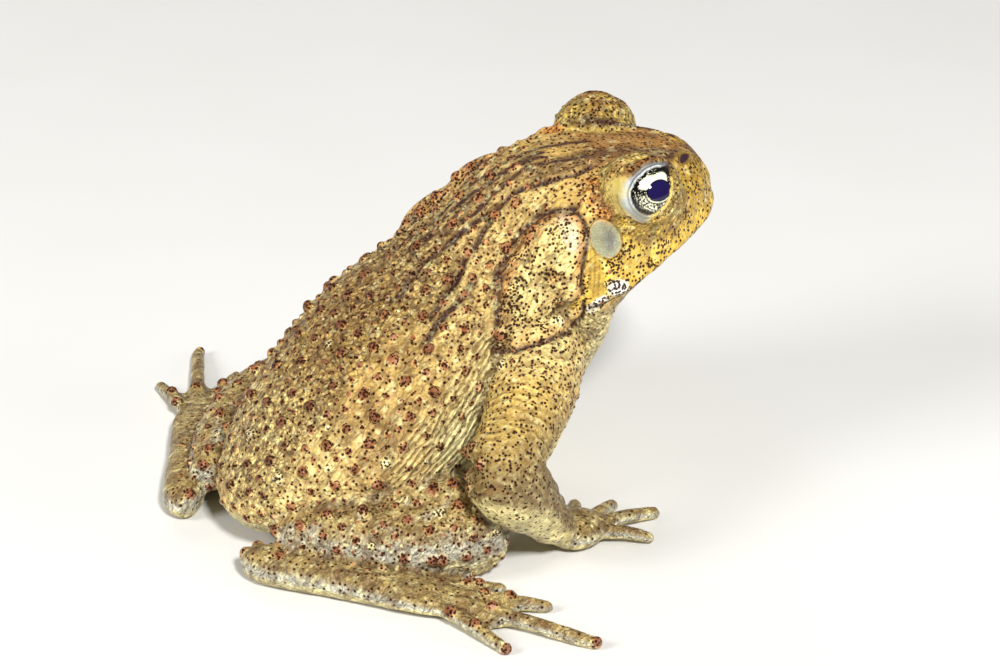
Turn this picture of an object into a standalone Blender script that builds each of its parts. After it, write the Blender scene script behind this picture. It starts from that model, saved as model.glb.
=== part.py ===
"""A cane toad, life size and at rest, sitting up on straight arms with its hind legs folded.

+X is the way the toad faces, +Y is its left, +Z is up, and the floor is z = 0.
All places and sizes are in units of one millimetre on a toad of 120 mm from snout to vent.
Each fleshy part is lofted or built from ellipsoids, fused, and then cut clear of its neighbours.
"""

import math
import random

import bmesh
import bpy
from mathutils import Matrix, Vector
from mathutils.bvhtree import BVHTree

SNOUT_TO_VENT = 0.120
UNIT = SNOUT_TO_VENT / 120
GAP = 0.3  # between neighbouring parts
ORIGIN_SHIFT = (8.15, -0.29)  # puts the origin under the middle of the whole toad's box

# The head is turned a little to the toad's right, about an upright axis in the neck.
HEAD_TURN = math.radians(-14)
TURN_STARTS, TURN_ENDS = -4, 20  # where along X the turn begins and is complete

# Profile stations, from the snout to the vent: the top and the bottom of the section in the
# plane of symmetry as (x, z), its half width, how high up it is widest, the squareness of its
# upper and lower sides (2 is an ellipse), and how far its middle lies to the left of the X axis,
# as the trunk is a little bent. The head is widest at the line of the lips.
PROFILE = (
    ("snout_tip", (46.6, 59.6), (46.4, 53.6), 4.0, 0.30, 2.0, 2.0, 1.2),
    ("snout", (46.0, 62.8), (45.0, 51.8), 7.2, 0.30, 2.1, 2.0, 1.2),
    ("nostrils", (42.4, 65.5), (41.8, 50.4), 11.6, 0.31, 2.3, 1.9, 1.2),
    ("canthus", (36.2, 66.8), (36.2, 47.6), 16.5, 0.31, 2.4, 1.9, 1.2),
    ("eyes", (28.0, 67.4), (29.3, 43.4), 21.0, 0.32, 2.4, 1.9, 1.2),
    ("eardrums", (18.5, 67.2), (24.3, 38.0), 23.6, 0.36, 2.4, 2.0, 1.1),
    ("jaw_corner", (10.5, 65.5), (23.5, 31.6), 23.0, 0.41, 2.3, 2.1, 0.6),
    ("neck", (2.0, 61.2), (21.0, 24.8), 21.0, 0.46, 1.95, 2.2, -0.2),
    ("chest", (-6.0, 56.3), (15.0, 17.4), 21.8, 0.46, 1.85, 2.3, -1.0),
    ("ribs", (-15.0, 50.5), (3.0, 9.3), 24.8, 0.45, 1.9, 2.3, -1.0),
    ("belly", (-24.0, 45.0), (-13.0, 3.5), 27.4, 0.43, 1.9, 2.3, -0.6),
    ("sacrum", (-33.0, 39.0), (-29.0, 1.8), 25.0, 0.42, 1.8, 2.3, -1.8),
    ("rump", (-43.5, 29.5), (-42.0, 2.0), 19.0, 0.45, 1.85, 2.3, -3.2),
    ("seat", (-51.0, 19.5), (-51.5, 3.5), 12.0, 0.50, 1.9, 2.2, -4.2),
    ("vent", (-55.5, 12.5), (-56.0, 7.5), 4.5, 0.50, 2.0, 2.0, -4.8),
)
STEPS = 4  # sections made between two stations
BODY_SIDES = 48

# The head's features, on its left side and before it is turned.
EYE = (29.1, 16.2, 64.0)  # centre of the eyeball
EYE_RADIUS = 6.5
GAZE = (0.06, 0.89, 0.45)
EYE_OPENING = math.radians(45)  # half angle of the opening between the lids
EARDRUM = (20.2, 20.5, 57.4)
EARDRUM_SIZE = (3.1, 1.3, 4.1)
NOSTRIL = (40.9, 5.1)
MOUTH_HINGE, MOUTH_RISE = (20.0, 45.2), 0.35  # a point of the lip line as (x, z), and its slope
MOUTH_REACH = math.radians(107)  # how far round each side of the muzzle the mouth is split
MOUTH_RADIUS = 0.55  # of the groove between the lips
LIP_LIFT, LIP_RADIUS = 1.5, 1.3  # the rounded edge of the upper lip, above the groove
CREST = ((43.5, 3.6), (38, 7.0), (33, 8.6), (28, 9.4), (23, 11.4), (19, 15), (15.5, 18.5))
CREST_RADIUS = 1.25
HEAD_MIDDLE = 1.2  # how far the head's middle plane lies to the left of the X axis
NECK_CUT_X = 12.0

# The two swellings of a parotoid gland: the middle, and the half sizes along it, across it and
# outward.
GLAND_SIDE = -0.4  # how far the glands' own middle lies to the left of the X axis
GLAND = (((11.0, 17.6, 52.4), (8.5, 8.8, 4.6)), ((1.0, 18.4, 45.6), (12.5, 6.8, 4.6)))

# The large warts: how many on each part, and the range of their radius and of their height for
# a radius of one. Along the trunk they lie between two stations of the profile.
BACK_WARTS, THIGH_WARTS, SHANK_WARTS = 72, 10, 8
WART_STATIONS = (6.6, 12.8)
WART_RADIUS, WART_HEIGHT = (1.0, 2.1), (0.42, 0.6)
WART_SPACING = 1.7  # between two middles, for radii that add up to one

# The limbs on the left side, as stations of (x, y, z, half width, half height); the right ones
# are mirrored. The arms stand about a middle line of their own, and the left hand is further on.
ARMS_SIDE = -2.5
LEFT_HAND_FORWARD, LEFT_ELBOW_DROP = 9.0, 5.0
UPPER_ARM = (
    (8, 13, 36, 5, 5), (3, 19.5, 34.5, 8.5, 9), (-3, 27, 31, 8.2, 8.4),
    (-10, 34, 27.5, 7.2, 7.4), (-16, 38.5, 24.5, 6.6, 6.6), (-19, 39.5, 23, 3.5, 3.5),
)
FOREARM = (
    (-19.5, 38.8, 25.5, 3, 3), (-17.5, 39, 24, 6.3, 6.4), (-12.5, 38.3, 18.5, 7.2, 7.2),
    (-7, 36.5, 12, 5.6, 5.4), (-2.5, 34.8, 6.5, 4.4, 4.0), (0.5, 33.8, 4, 3, 2.6),
)
# The legs are measured from the middle of the hips, along and across the turned hips.
HIPS, HIPS_TURN = (-45, -3), math.radians(8)
THIGH = (
    (-2, 2, 10, 4, 4), (3, 7, 10, 8.5, 8.5), (9, 15, 9.8, 9.2, 8.6),
    (16, 23.5, 9.6, 8.6, 8.4), (23, 31, 9, 7, 7.6), (26.5, 34.5, 8.4, 3.6, 3.6),
)
SHANK = (
    (27.5, 37, 7.3, 3, 3), (24, 36, 7.2, 6.2, 7.2), (15.5, 32, 7.2, 7.6, 7.6),
    (6, 25.5, 7.2, 7.0, 7.0), (-3, 17.5, 7.2, 5.2, 5.6), (-8, 13.5, 6.8, 3, 3),
)
ANKLE = (
    (-12, 11.5, 3.2, 2.4, 2.4), (-11.5, 15.5, 3.3, 4.2, 3.7), (-2.5, 29, 3.2, 3.9, 3.4),
    (6, 40, 2.8, 5.2, 2.8), (9.5, 44.5, 2.2, 4.4, 2.0),
)

# Fingers and toes as (angle from straight on, toward the inner side; length; radius).
FINGERS = ((62, 13, 1.6), (30, 15, 1.6), (2, 19, 1.7), (-30, 15, 1.6))
TOES = ((58, 12, 1.6), (34, 17, 1.6), (14, 25, 1.7), (-5, 36, 1.8), (-26, 23, 1.6))
WEB_THICKNESS = 1.5
WEB_REACH = 0.8  # of the shorter of the two toes beside it

# The size of the grains in which a fleshy piece is fused, and how many triangles it may keep.
BODY_GRAIN, LIMB_GRAIN, HAND_GRAIN, FOOT_GRAIN = 0.8, 0.8, 0.6, 0.55
BODY_TRIANGLES, ARM_TRIANGLES, LEG_TRIANGLES = 3500, 240, 300
HAND_TRIANGLES, FOOT_TRIANGLES = 400, 620

SKIN = (0.62, 0.47, 0.20)
EYE_DARK = (0.03, 0.02, 0.02)
EARDRUM_COLOUR = (0.50, 0.48, 0.33)


def place(x, y, z):
    """A point of the toad, in metres."""
    return Vector(((x + ORIGIN_SHIFT[0]) * UNIT, (y + ORIGIN_SHIFT[1]) * UNIT, z * UNIT))


def turned(x, y, z):
    """The point after the turn of the head, in units."""
    share = min(max((x - TURN_STARTS) / (TURN_ENDS - TURN_STARTS), 0), 1)
    angle = HEAD_TURN * share * share * (3 - 2 * share)
    pivot = Vector((TURN_STARTS, 0, 0))
    return Matrix.Rotation(angle, 3, "Z") @ (Vector((x, y, z)) - pivot) + pivot


def clear_scene():
    for obj in list(bpy.data.objects):
        bpy.data.objects.remove(obj)


def skin_material(name, colour, roughness):
    made = bpy.data.materials.new(name)
    made.use_nodes = True
    shader = made.node_tree.nodes["Principled BSDF"]
    shader.inputs["Base Color"].default_value = (*colour, 1)
    shader.inputs["Roughness"].default_value = roughness
    shader.inputs["Metallic"].default_value = 0
    return made


def new_object(name, mesh):
    obj = bpy.data.objects.new(name, mesh)
    bpy.context.scene.collection.objects.link(obj)
    return obj


def object_from(name, bm):
    bmesh.ops.recalc_face_normals(bm, faces=bm.faces)
    mesh = bpy.data.meshes.new(name)
    bm.to_mesh(mesh)
    bm.free()
    return new_object(name, mesh)


def blended(rows, steps):
    """Rows of numbers with a smooth curve through them, at steps places between each two."""
    found = []
    for i in range(len(rows) - 1):
        before, here, there, after = (
            rows[max(i - 1, 0)], rows[i], rows[i + 1], rows[min(i + 2, len(rows) - 1)]
        )
        for k in range(steps):
            t = k / steps
            found.append([
                0.5 * (2 * b + (c - a) * t + (2 * a - 5 * b + 4 * c - d) * t * t
                       + (3 * b - a - 3 * c + d) * t ** 3)
                for a, b, c, d in zip(before, here, there, after)
            ])
    return found + [list(rows[-1])]


def loft(name, rings):
    """One closed mesh through rings of points that all hold the same number."""
    bm = bmesh.new()
    loops = [[bm.verts.new(point) for point in ring] for ring in rings]
    sides = len(loops[0])
    for here, there in zip(loops, loops[1:]):
        for i in range(sides):
            j = (i + 1) % sides
            bm.faces.new((here[i], here[j], there[j], there[i]))
    for loop in (loops[0], loops[-1]):
        middle = bm.verts.new(sum((v.co for v in loop), Vector()) / sides)
        for i in range(sides):
            bm.faces.new((loop[i], loop[(i + 1) % sides], middle))
    return object_from(name, bm)


def superellipse(angle, squareness):
    """A point on a rounded box of half sizes one; a squareness of 2 is a circle."""
    c, s = math.cos(angle), math.sin(angle)
    power = 2 / squareness
    return math.copysign(abs(c) ** power, c), math.copysign(abs(s) ** power, s)


def section_point(row, angle):
    """A point of one section of the body: angle 0 is its left side and a quarter turn its top."""
    top_x, top_z, low_x, low_z, width, widest, upper, lower, shift = row
    across, rise = superellipse(angle, upper if math.sin(angle) > 0 else lower)
    share = widest + rise * (1 - widest if rise > 0 else widest)
    x = low_x + (top_x - low_x) * share
    z = low_z + (top_z - low_z) * share
    return turned(x, across * width + shift, z)


def body_loft():
    """The head and trunk as one loft, from the profile stations."""
    rows = [(*top, *bottom, *rest) for _, top, bottom, *rest in PROFILE]
    rings = []
    for row in blended(rows, STEPS):
        ring = []
        for i in range(BODY_SIDES):
            ring.append(place(*section_point(row, 2 * math.pi * i / BODY_SIDES)))
        rings.append(ring)
    return loft("body", rings)


def tube(name, stations, sides=16, steps=4, up=(0, 0, 1)):
    """A closed tube through stations of (x, y, z, half width, half height), with round ends."""
    rows = blended(stations, steps)
    centres = [Vector(row[:3]) for row in rows]
    rings = []
    for i, row in enumerate(rows):
        along = centres[min(i + 1, len(rows) - 1)] - centres[max(i - 1, 0)]
        along.normalize()
        side = Vector(up).cross(along).normalized()
        rise = along.cross(side)
        ring = []
        for k in range(sides):
            angle = 2 * math.pi * k / sides
            offset = side * (row[3] * math.cos(angle)) + rise * (row[4] * math.sin(angle))
            ring.append(place(*(centres[i] + offset)))
        rings.append(ring)
    return loft(name, rings)


def ellipsoid(name, centre, sizes, forward=(1, 0, 0), up=(0, 0, 1), head=False, sides=18):
    """An ellipsoid with its half sizes along forward, across it, and up."""
    along = Vector(forward).normalized()
    side = Vector(up).cross(along).normalized()
    rise = along.cross(side)
    bm = bmesh.new()
    bmesh.ops.create_uvsphere(bm, u_segments=sides, v_segments=sides * 5 // 9, radius=1)
    for vert in bm.verts:
        a, b, c = (vert.co[k] * sizes[k] for k in range(3))
        point = Vector(centre) + along * a + side * b + rise * c
        vert.co = place(*(turned(*point) if head else point))
    return object_from(name, bm)


def modified(obj, kind, **settings):
    """Adds one modifier and applies it."""
    modifier = obj.modifiers.new(kind.title(), kind)
    for key, value in settings.items():
        setattr(modifier, key, value)
    graph = bpy.context.evaluated_depsgraph_get()
    mesh = bpy.data.meshes.new_from_object(obj.evaluated_get(graph))
    obj.modifiers.clear()
    old, obj.data = obj.data, mesh
    bpy.data.meshes.remove(old)
    return obj


def joined(name, pieces):
    """One object that holds all the pieces' meshes, still as separate shells."""
    bm = bmesh.new()
    for piece in pieces:
        bm.from_mesh(piece.data)
        bpy.data.objects.remove(piece)
    return object_from(name, bm)


def fused(name, pieces, voxel, triangles, smoothing=4):
    """The pieces melted into one smooth skin, with no more triangles than asked for."""
    obj = joined(name, pieces)
    modified(obj, "REMESH", mode="VOXEL", voxel_size=voxel * UNIT)
    modified(obj, "SMOOTH", factor=0.5, iterations=smoothing)
    modified(obj, "TRIANGULATE")
    share = triangles / len(obj.data.polygons)
    if share < 1:
        modified(obj, "DECIMATE", ratio=share)
    return obj


def boolean(obj, other, operation, solver="EXACT"):
    modified(obj, "BOOLEAN", operation=operation, object=other, solver=solver)
    return obj


def box(name, low, high):
    """A box between two corners, given in units."""
    bm = bmesh.new()
    bmesh.ops.create_cube(bm, size=1)
    low, high = place(*low), place(*high)
    for vert in bm.verts:
        vert.co = Vector([(vert.co[k] + 0.5) * (high[k] - low[k]) + low[k] for k in range(3)])
    return object_from(name, bm)


def half_space(point, normal, reach=90):
    """A large block whose one face goes through the point; the normal points out of it."""
    obj = box("block", (-reach, -reach, -2 * reach), (reach, reach, 0))
    turn = Vector(normal).to_track_quat("Z", "Y").to_matrix().to_4x4()
    shift = Matrix.Translation(place(0, 0, 0))
    obj.data.transform(Matrix.Translation(place(*point)) @ turn @ shift.inverted())
    return obj


def keep_behind(obj, point, normal):
    """Keeps what lies on the side of the plane that its normal points away from."""
    block = half_space(point, normal)
    boolean(obj, block, "INTERSECT")
    bpy.data.objects.remove(block)
    return obj


def clear_of(obj, *neighbours):
    """Cuts the object back to a gap from each neighbour.

    The grown copies fold a little where a neighbour has a sharp edge, which only the manifold
    solver takes.
    """
    for other in neighbours:
        grown = new_object("grown", other.data.copy())
        modified(grown, "DISPLACE", strength=GAP * UNIT, mid_level=0)
        boolean(obj, grown, "DIFFERENCE", solver="MANIFOLD")
        bpy.data.objects.remove(grown)
    return largest_piece(obj)


def largest_piece(obj):
    """Drops every closed surface of the mesh but the largest."""
    bm = bmesh.new()
    bm.from_mesh(obj.data)
    left, shells = set(bm.verts), []
    while left:
        shell, edge = set(), [left.pop()]
        while edge:
            vert = edge.pop()
            shell.add(vert)
            for link in vert.link_edges:
                other = link.other_vert(vert)
                if other in left:
                    left.remove(other)
                    edge.append(other)
        shells.append(shell)
    largest = max(shells, key=len)
    bmesh.ops.delete(bm, geom=[v for v in bm.verts if v not in largest], context="VERTS")
    bm.to_mesh(obj.data)
    bm.free()
    return obj


def mirrored(point, side, middle=0):
    """The point or direction on one side (1 left, -1 right) of a middle line."""
    return (point[0], point[1] * side + middle, *point[2:])


def on_head(point, side):
    """A point of the head's left side, or its mirror image, moved over with the head."""
    x, y, z = point
    return (x, y * side + HEAD_MIDDLE, z)


def ring_around(centre, axis, radius, thickness, name):
    """A ring of round section about an axis."""
    turn = Vector(axis).to_track_quat("Z", "Y").to_matrix()
    bm = bmesh.new()
    sides, round_ = 28, 8
    loops = []
    for i in range(sides):
        a = 2 * math.pi * i / sides
        loop = []
        for k in range(round_):
            b = 2 * math.pi * k / round_
            reach = radius + thickness * math.cos(b)
            local = Vector((reach * math.cos(a), reach * math.sin(a), thickness * math.sin(b)))
            loop.append(bm.verts.new(place(*turned(*(Vector(centre) + turn @ local)))))
        loops.append(loop)
    for here, there in zip(loops, loops[1:] + loops[:1]):
        for k in range(round_):
            j = (k + 1) % round_
            bm.faces.new((here[k], here[j], there[j], there[k]))
    return object_from(name, bm)


def eyelids(side):
    """The dome of skin over an eye and the thick rim round its opening."""
    x, y, z = on_head(EYE, side)
    gaze = Vector(mirrored(GAZE, side)).normalized()
    rim = Vector((x, y, z)) + gaze * (EYE_RADIUS * math.cos(EYE_OPENING) + 0.1)
    return [
        ellipsoid("dome", (x - 0.5, y - 0.6 * side, z), (8.3, 7.2, 7.7), head=True),
        ellipsoid("cheek", (x - 2.0, y - 3.6 * side, z - 4.0), (11.5, 6.4, 7.0), head=True),
        ring_around(rim, gaze, EYE_RADIUS * math.sin(EYE_OPENING) + 0.7, 0.8, "rim"),
    ]


def crest(side, tree):
    """The bony ridge from the nostril, round the inner side of the eye, to over the eardrum."""
    stations = []
    for x, y in CREST:
        x, y, _ = turned(x, y * side + HEAD_MIDDLE, 0)
        hit = tree.ray_cast(place(x, y, 90), Vector((0, 0, -1)))[0]
        stations.append((x, y, hit.z / UNIT - 0.35, CREST_RADIUS, CREST_RADIUS))
    stations[0] = (*stations[0][:3], 0.7, 0.7)
    return tube("crest", stations, sides=10, steps=3)


def parotoid(side):
    """The large poison gland on the shoulder, behind the eardrum."""
    forward, outward = mirrored((22, -5, 17.5), side), mirrored((0.0, 0.9, 0.44), side)
    return [
        ellipsoid("gland", mirrored(centre, side, GLAND_SIDE), size, forward, outward, head=True)
        for centre, size in GLAND
    ]


def surface_tree(obj):
    bm = bmesh.new()
    bm.from_mesh(obj.data)
    tree = BVHTree.FromBMesh(bm)
    bm.free()
    return tree


def head_and_trunk():
    loft_ = body_loft()
    tree = surface_tree(loft_)
    pieces = [loft_, along_lips("lip", tree, LIP_LIFT, LIP_RADIUS, LIP_RADIUS * 0.5)]
    for side in (1, -1):
        pieces += eyelids(side)
        pieces.append(crest(side, tree))
        pieces += parotoid(side)
    return fused("body", pieces, BODY_GRAIN, BODY_TRIANGLES, smoothing=3)


def eyeball(side):
    return ellipsoid(
        side_name("eye", side), on_head(EYE, side), (EYE_RADIUS,) * 3,
        forward=mirrored(GAZE, side), head=True,
    )


def eardrum(side):
    return ellipsoid(
        side_name("eardrum", side), on_head(EARDRUM, side), EARDRUM_SIZE,
        forward=mirrored((1, -0.10, 0.25), side), up=mirrored((-0.25, -0.3, 1), side), head=True,
        sides=14,
    )


def lid_opening(side):
    """The cutter that parts the lids: a cone that widens outward along the gaze."""
    gaze = Vector(mirrored(GAZE, side)).normalized()
    centre = Vector(on_head(EYE, side))
    stations = []
    for distance, radius in ((2.0, 3.6), (4.2, 4.5), (10.0, 6.6)):
        stations.append((*turned(*(centre + gaze * distance)), radius, radius))
    return tube("lid_opening", stations, sides=24, steps=1)


def nostril(side, tree):
    """A small pit that faces forward, outward and up."""
    x, y, _ = turned(NOSTRIL[0], NOSTRIL[1] * side + HEAD_MIDDLE, 0)
    hit, normal = tree.ray_cast(place(x, y, 90), Vector((0, 0, -1)))[:2]
    z = hit.z / UNIT
    return ellipsoid("pit", (x, y, z - 0.1), (1.15, 0.75, 1.3), up=normal, forward=(1, side, -1))


def along_lips(name, tree, lift, radius, sunk):
    """A thin tube round the muzzle, followed along the skin in one tilted plane."""
    hinge_x, hinge_z = MOUTH_HINGE[0], MOUTH_HINGE[1] + lift
    middle = Vector(turned(hinge_x + 5, HEAD_MIDDLE, hinge_z + 5 * MOUTH_RISE))
    ahead = Vector(turned(hinge_x + 6, HEAD_MIDDLE, hinge_z + 6 * MOUTH_RISE)) - middle
    side = Vector((0, 0, 1)).cross(ahead)
    stations = []
    steps = 20
    for i in range(steps + 1):
        angle = MOUTH_REACH * (2 * i / steps - 1)
        ray = (ahead.normalized() * math.cos(angle) + side.normalized() * math.sin(angle))
        hit = tree.ray_cast(place(*middle), ray)[0]
        point = (hit - ray * (sunk * UNIT)) / UNIT - Vector((*ORIGIN_SHIFT, 0))
        size = radius * (0.45 if i in (0, steps) else 1)
        stations.append((*point, size, size))
    return tube(name, stations, sides=6, steps=1)


def digit(name, base, tip, radius, arch=1.5):
    """A finger or toe, arched a little between its base and its tip."""
    a, b = Vector(base), Vector(tip)
    middle = a.lerp(b, 0.5) + Vector((0, 0, arch))
    stations = [(*a, radius, radius), (*middle, radius * 0.85, radius * 0.85),
                (*a.lerp(b, 0.92), radius * 0.8, radius * 0.8),
                (*b, radius * 0.4, radius * 0.4)]
    return tube(name, stations, sides=10, steps=3)


def arm_point(row, side):
    """A station of an arm; below the shoulder the left one is further forward."""
    x, y, z, *rest = mirrored(row, side, ARMS_SIDE)
    if side < 0:
        return (x, y, z, *rest)
    share = min(max((34 - z) / 14, 0), 1)
    drop = LEFT_ELBOW_DROP * min(max((34 - z) / 8, 0), 1) * min(max((z - 4) / 16, 0), 1)
    return (x + LEFT_HAND_FORWARD * share, y, z - drop, *rest)


def leg_point(row, side):
    """A station of a leg, turned with the hips."""
    along, across, z, *rest = mirrored(row, side)
    turn = Matrix.Rotation(HIPS_TURN, 2)
    x, y = turn @ Vector((along, across)) + Vector(HIPS)
    return (x, y, z, *rest)


def limb(name, table, side, where, triangles):
    """A piece of a limb, from its table of stations."""
    stations = [where(row, side) for row in table]
    return fused(side_name(name, side), [tube(name, stations)], LIMB_GRAIN, triangles)


def web(root, one, other):
    """A thin sheet of skin between two toes, with its edge drawn in."""
    edge = one.lerp(other, 0.5).lerp(root, 0.15)
    bm = bmesh.new()
    levels = []
    for height in (1.2 - WEB_THICKNESS / 2, 1.2 + WEB_THICKNESS / 2):
        levels.append([bm.verts.new(place(v.x, v.y, height)) for v in (root, one, edge, other)])
    low, high = levels
    bm.faces.new(low)
    bm.faces.new(reversed(high))
    for i in range(4):
        j = (i + 1) % 4
        bm.faces.new((low[j], low[i], high[i], high[j]))
    return object_from("web", bm)


def hand(side):
    """Four short fingers that point forward and a little inward."""
    palm = Vector(arm_point((3.5, 33, 3.0), side))
    pieces = [ellipsoid("palm", palm, (6.5, 5.6, 3.2), forward=mirrored((1, -0.35, 0), side))]
    for angle, length, radius in FINGERS:
        turn = math.radians(angle)
        reach = Vector((math.cos(turn), -math.sin(turn) * side, 0))
        base = palm + reach * 3.5
        tip = palm + reach * length
        base.z, tip.z = 2.4, 1.1
        pieces.append(digit("finger", base, tip, radius, arch=0.6))
    return fused(side_name("hand", side), pieces, HAND_GRAIN, HAND_TRIANGLES, smoothing=2)


def foot(side):
    """The long ankle and five webbed toes, laid outward from the heel."""
    stations = [leg_point(row, side) for row in ANKLE]
    pieces = [tube("ankle", stations)]
    heel, ball = Vector(stations[1][:3]), Vector(stations[3][:3])
    along = (ball - heel).normalized()
    across = Vector((0, 0, 1)).cross(along)
    toes = []
    for angle, length, radius in TOES:
        turn = math.radians(angle) * -side
        reach = along * math.cos(turn) + across * math.sin(turn)
        base = ball + reach * 2.5
        tip = ball + reach * length
        base.z, tip.z = 2.4, 1.1
        pieces.append(digit("toe", base, tip, radius, arch=0.6))
        toes.append((base, tip))
    for (base, tip), (next_base, next_tip) in zip(toes, toes[1:]):
        reach = WEB_REACH * min((tip - base).length, (next_tip - next_base).length)
        pieces.append(web(ball, base + (tip - base).normalized() * reach,
                          next_base + (next_tip - next_base).normalized() * reach))
    return fused(side_name("foot", side), pieces, FOOT_GRAIN, FOOT_TRIANGLES, smoothing=2)


def wart_sizes(count, seed):
    """Radius and height of each wart, the largest first."""
    chance = random.Random(seed)
    low, high = WART_RADIUS
    radii = [low + (high - low) * chance.random() ** 1.6 for _ in range(count)]
    radii.sort(reverse=True)
    return [(radius, radius * chance.uniform(*WART_HEIGHT)) for radius in radii]


def spread(count, seed, tree, candidate):
    """Warts on a skin, kept apart; a candidate is a point near the skin or nothing."""
    chance = random.Random(seed + 1)
    placed, warts = [], []
    for radius, height in wart_sizes(count, seed):
        for _ in range(60):
            guess = candidate(chance)
            spot, normal, _, distance = tree.find_nearest(guess)
            if distance > 1.0 * UNIT:
                continue
            middle = Vector(spot / UNIT - Vector((*ORIGIN_SHIFT, 0)))
            if all((middle - other).length > WART_SPACING * (radius + size)
                   for other, size in placed):
                placed.append((middle, radius))
                warts.append(wart(middle, normal, radius, height, chance.uniform(0.85, 1.2)))
                break
    return warts


def wart(middle, normal, radius, height, length):
    """A low dome of a few faces, with its lower half in the skin."""
    along = normal.orthogonal()
    side = normal.cross(along).normalized()
    bm = bmesh.new()
    bmesh.ops.create_uvsphere(bm, u_segments=6, v_segments=4, radius=1)
    for vert in bm.verts:
        a, b, c = vert.co
        point = middle + along * (a * radius * length) + side * (b * radius / length)
        vert.co = place(*(point + normal * (c * (height + 0.35) - 0.35)))
    return object_from("wart", bm)


def with_warts(obj, warts):
    """The object with all its warts melted on, by one union with a collection of them."""
    group = bpy.data.collections.new("warts")
    for piece in warts:
        group.objects.link(piece)
    modified(obj, "BOOLEAN", operation="UNION", operand_type="COLLECTION", collection=group,
             solver="EXACT")
    for piece in warts:
        bpy.data.objects.remove(piece)
    bpy.data.collections.remove(group)
    return largest_piece(obj)


def back_spot(chance):
    """A place on the upper side of the trunk, near the skin."""
    rows = blended([(*top, *bottom, *rest) for _, top, bottom, *rest in PROFILE], STEPS)
    station = chance.uniform(*WART_STATIONS)
    angle = math.radians(chance.uniform(-12, 192))
    return place(*section_point(rows[round(station * STEPS)], angle))


def leg_spot(table, side):
    """A function that gives places on the upper side of a piece of the leg."""
    rows = blended([leg_point(row, side) for row in table[1:-1]], 6)

    def spot(chance):
        x, y, z, wide, high = chance.choice(rows)
        angle = chance.uniform(0, 2 * math.pi)
        return place(x + 0.8 * wide * math.cos(angle), y + 0.8 * wide * math.sin(angle), z + high)

    return spot


def side_name(name, side):
    return f"{name}_{'left' if side > 0 else 'right'}"


def finish(obj, material):
    obj.data.materials.clear()
    obj.data.materials.append(material)
    obj.data.shade_smooth()


def main():
    clear_scene()
    skin = skin_material("toad_skin", SKIN, 0.55)
    dark = skin_material("eye", EYE_DARK, 0.1)
    membrane = skin_material("eardrum", EARDRUM_COLOUR, 0.5)
    floor = box("floor_block", (-90, -110, -40), (90, 110, 0))
    body = head_and_trunk()
    with_warts(body, spread(BACK_WARTS, 11, surface_tree(body), back_spot))
    eyes = [eyeball(side) for side in (1, -1)]
    drums = [eardrum(side) for side in (1, -1)]
    tree = surface_tree(body)
    cutters = [along_lips("mouth", tree, 0, MOUTH_RADIUS, 0)]
    for side in (1, -1):
        cutters += [lid_opening(side), nostril(side, tree)]
    for cutter in cutters:
        boolean(body, cutter, "DIFFERENCE")
        bpy.data.objects.remove(cutter)
    clear_of(body, *eyes, *drums)
    head = new_object("head", body.data.copy())
    keep_behind(head, (NECK_CUT_X + GAP / 2, 0, 50), (-1, 0, 0.05))
    torso = body
    torso.name = "torso"
    keep_behind(torso, (NECK_CUT_X - GAP / 2, 0, 50), (1, 0, -0.05))
    for eye in eyes:
        finish(eye, dark)
    for drum in drums:
        finish(drum, membrane)
    flesh = [head, torso]
    for side in (1, -1):
        arm = limb("upper_arm", UPPER_ARM, side, arm_point, ARM_TRIANGLES)
        lower = limb("forearm", FOREARM, side, arm_point, ARM_TRIANGLES)
        leg = limb("thigh", THIGH, side, leg_point, LEG_TRIANGLES)
        calf = limb("shank", SHANK, side, leg_point, LEG_TRIANGLES)
        for piece, table, count in ((leg, THIGH, THIGH_WARTS), (calf, SHANK, SHANK_WARTS)):
            seed = count + side
            warts = spread(count, seed, surface_tree(piece), leg_spot(table, side))
            with_warts(piece, warts)
        paw, sole = hand(side), foot(side)
        clear_of(arm, torso, head)
        clear_of(lower, arm, torso)
        clear_of(paw, lower)
        clear_of(leg, torso, arm, lower)
        clear_of(calf, leg, torso, lower)
        clear_of(sole, calf, leg, torso, paw)
        flesh += [arm, lower, paw, leg, calf, sole]
    for obj in flesh:
        boolean(obj, floor, "DIFFERENCE")
        finish(obj, skin)
    bpy.data.objects.remove(floor)


main()
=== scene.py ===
"""The looks of a cane toad at rest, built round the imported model.

Features are placed in the part's own units, one millimetre on a toad of 120 mm from snout to
vent, on the toad as it is before its head is turned. Only the left side is written out: the
right one is its mirror image.
"""

import math

import bmesh
import bpy
import numpy as np
from mathutils import Matrix, Vector, noise
from mathutils.bvhtree import BVHTree
from mathutils.kdtree import KDTree


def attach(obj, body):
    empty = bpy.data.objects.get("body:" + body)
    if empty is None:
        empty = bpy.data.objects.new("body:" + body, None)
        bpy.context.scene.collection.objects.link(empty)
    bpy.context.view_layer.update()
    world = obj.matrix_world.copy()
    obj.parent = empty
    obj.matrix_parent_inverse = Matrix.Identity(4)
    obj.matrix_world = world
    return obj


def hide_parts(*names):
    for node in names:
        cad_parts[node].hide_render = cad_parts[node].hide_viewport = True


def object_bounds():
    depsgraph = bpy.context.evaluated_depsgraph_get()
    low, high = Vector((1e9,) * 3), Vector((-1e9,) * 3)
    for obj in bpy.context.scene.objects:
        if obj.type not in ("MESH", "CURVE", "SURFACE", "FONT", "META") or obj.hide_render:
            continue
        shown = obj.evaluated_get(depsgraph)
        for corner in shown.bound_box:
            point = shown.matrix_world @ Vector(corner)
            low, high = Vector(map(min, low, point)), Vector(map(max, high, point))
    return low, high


# Where the part's units lie in the frame, and the turn of the head about an axis in the neck.
UNIT = 0.001
ORIGIN_SHIFT = (8.15, -0.29, 0)
HEAD_TURN = math.radians(-14)
TURN_STARTS, TURN_ENDS = -4, 20

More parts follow.
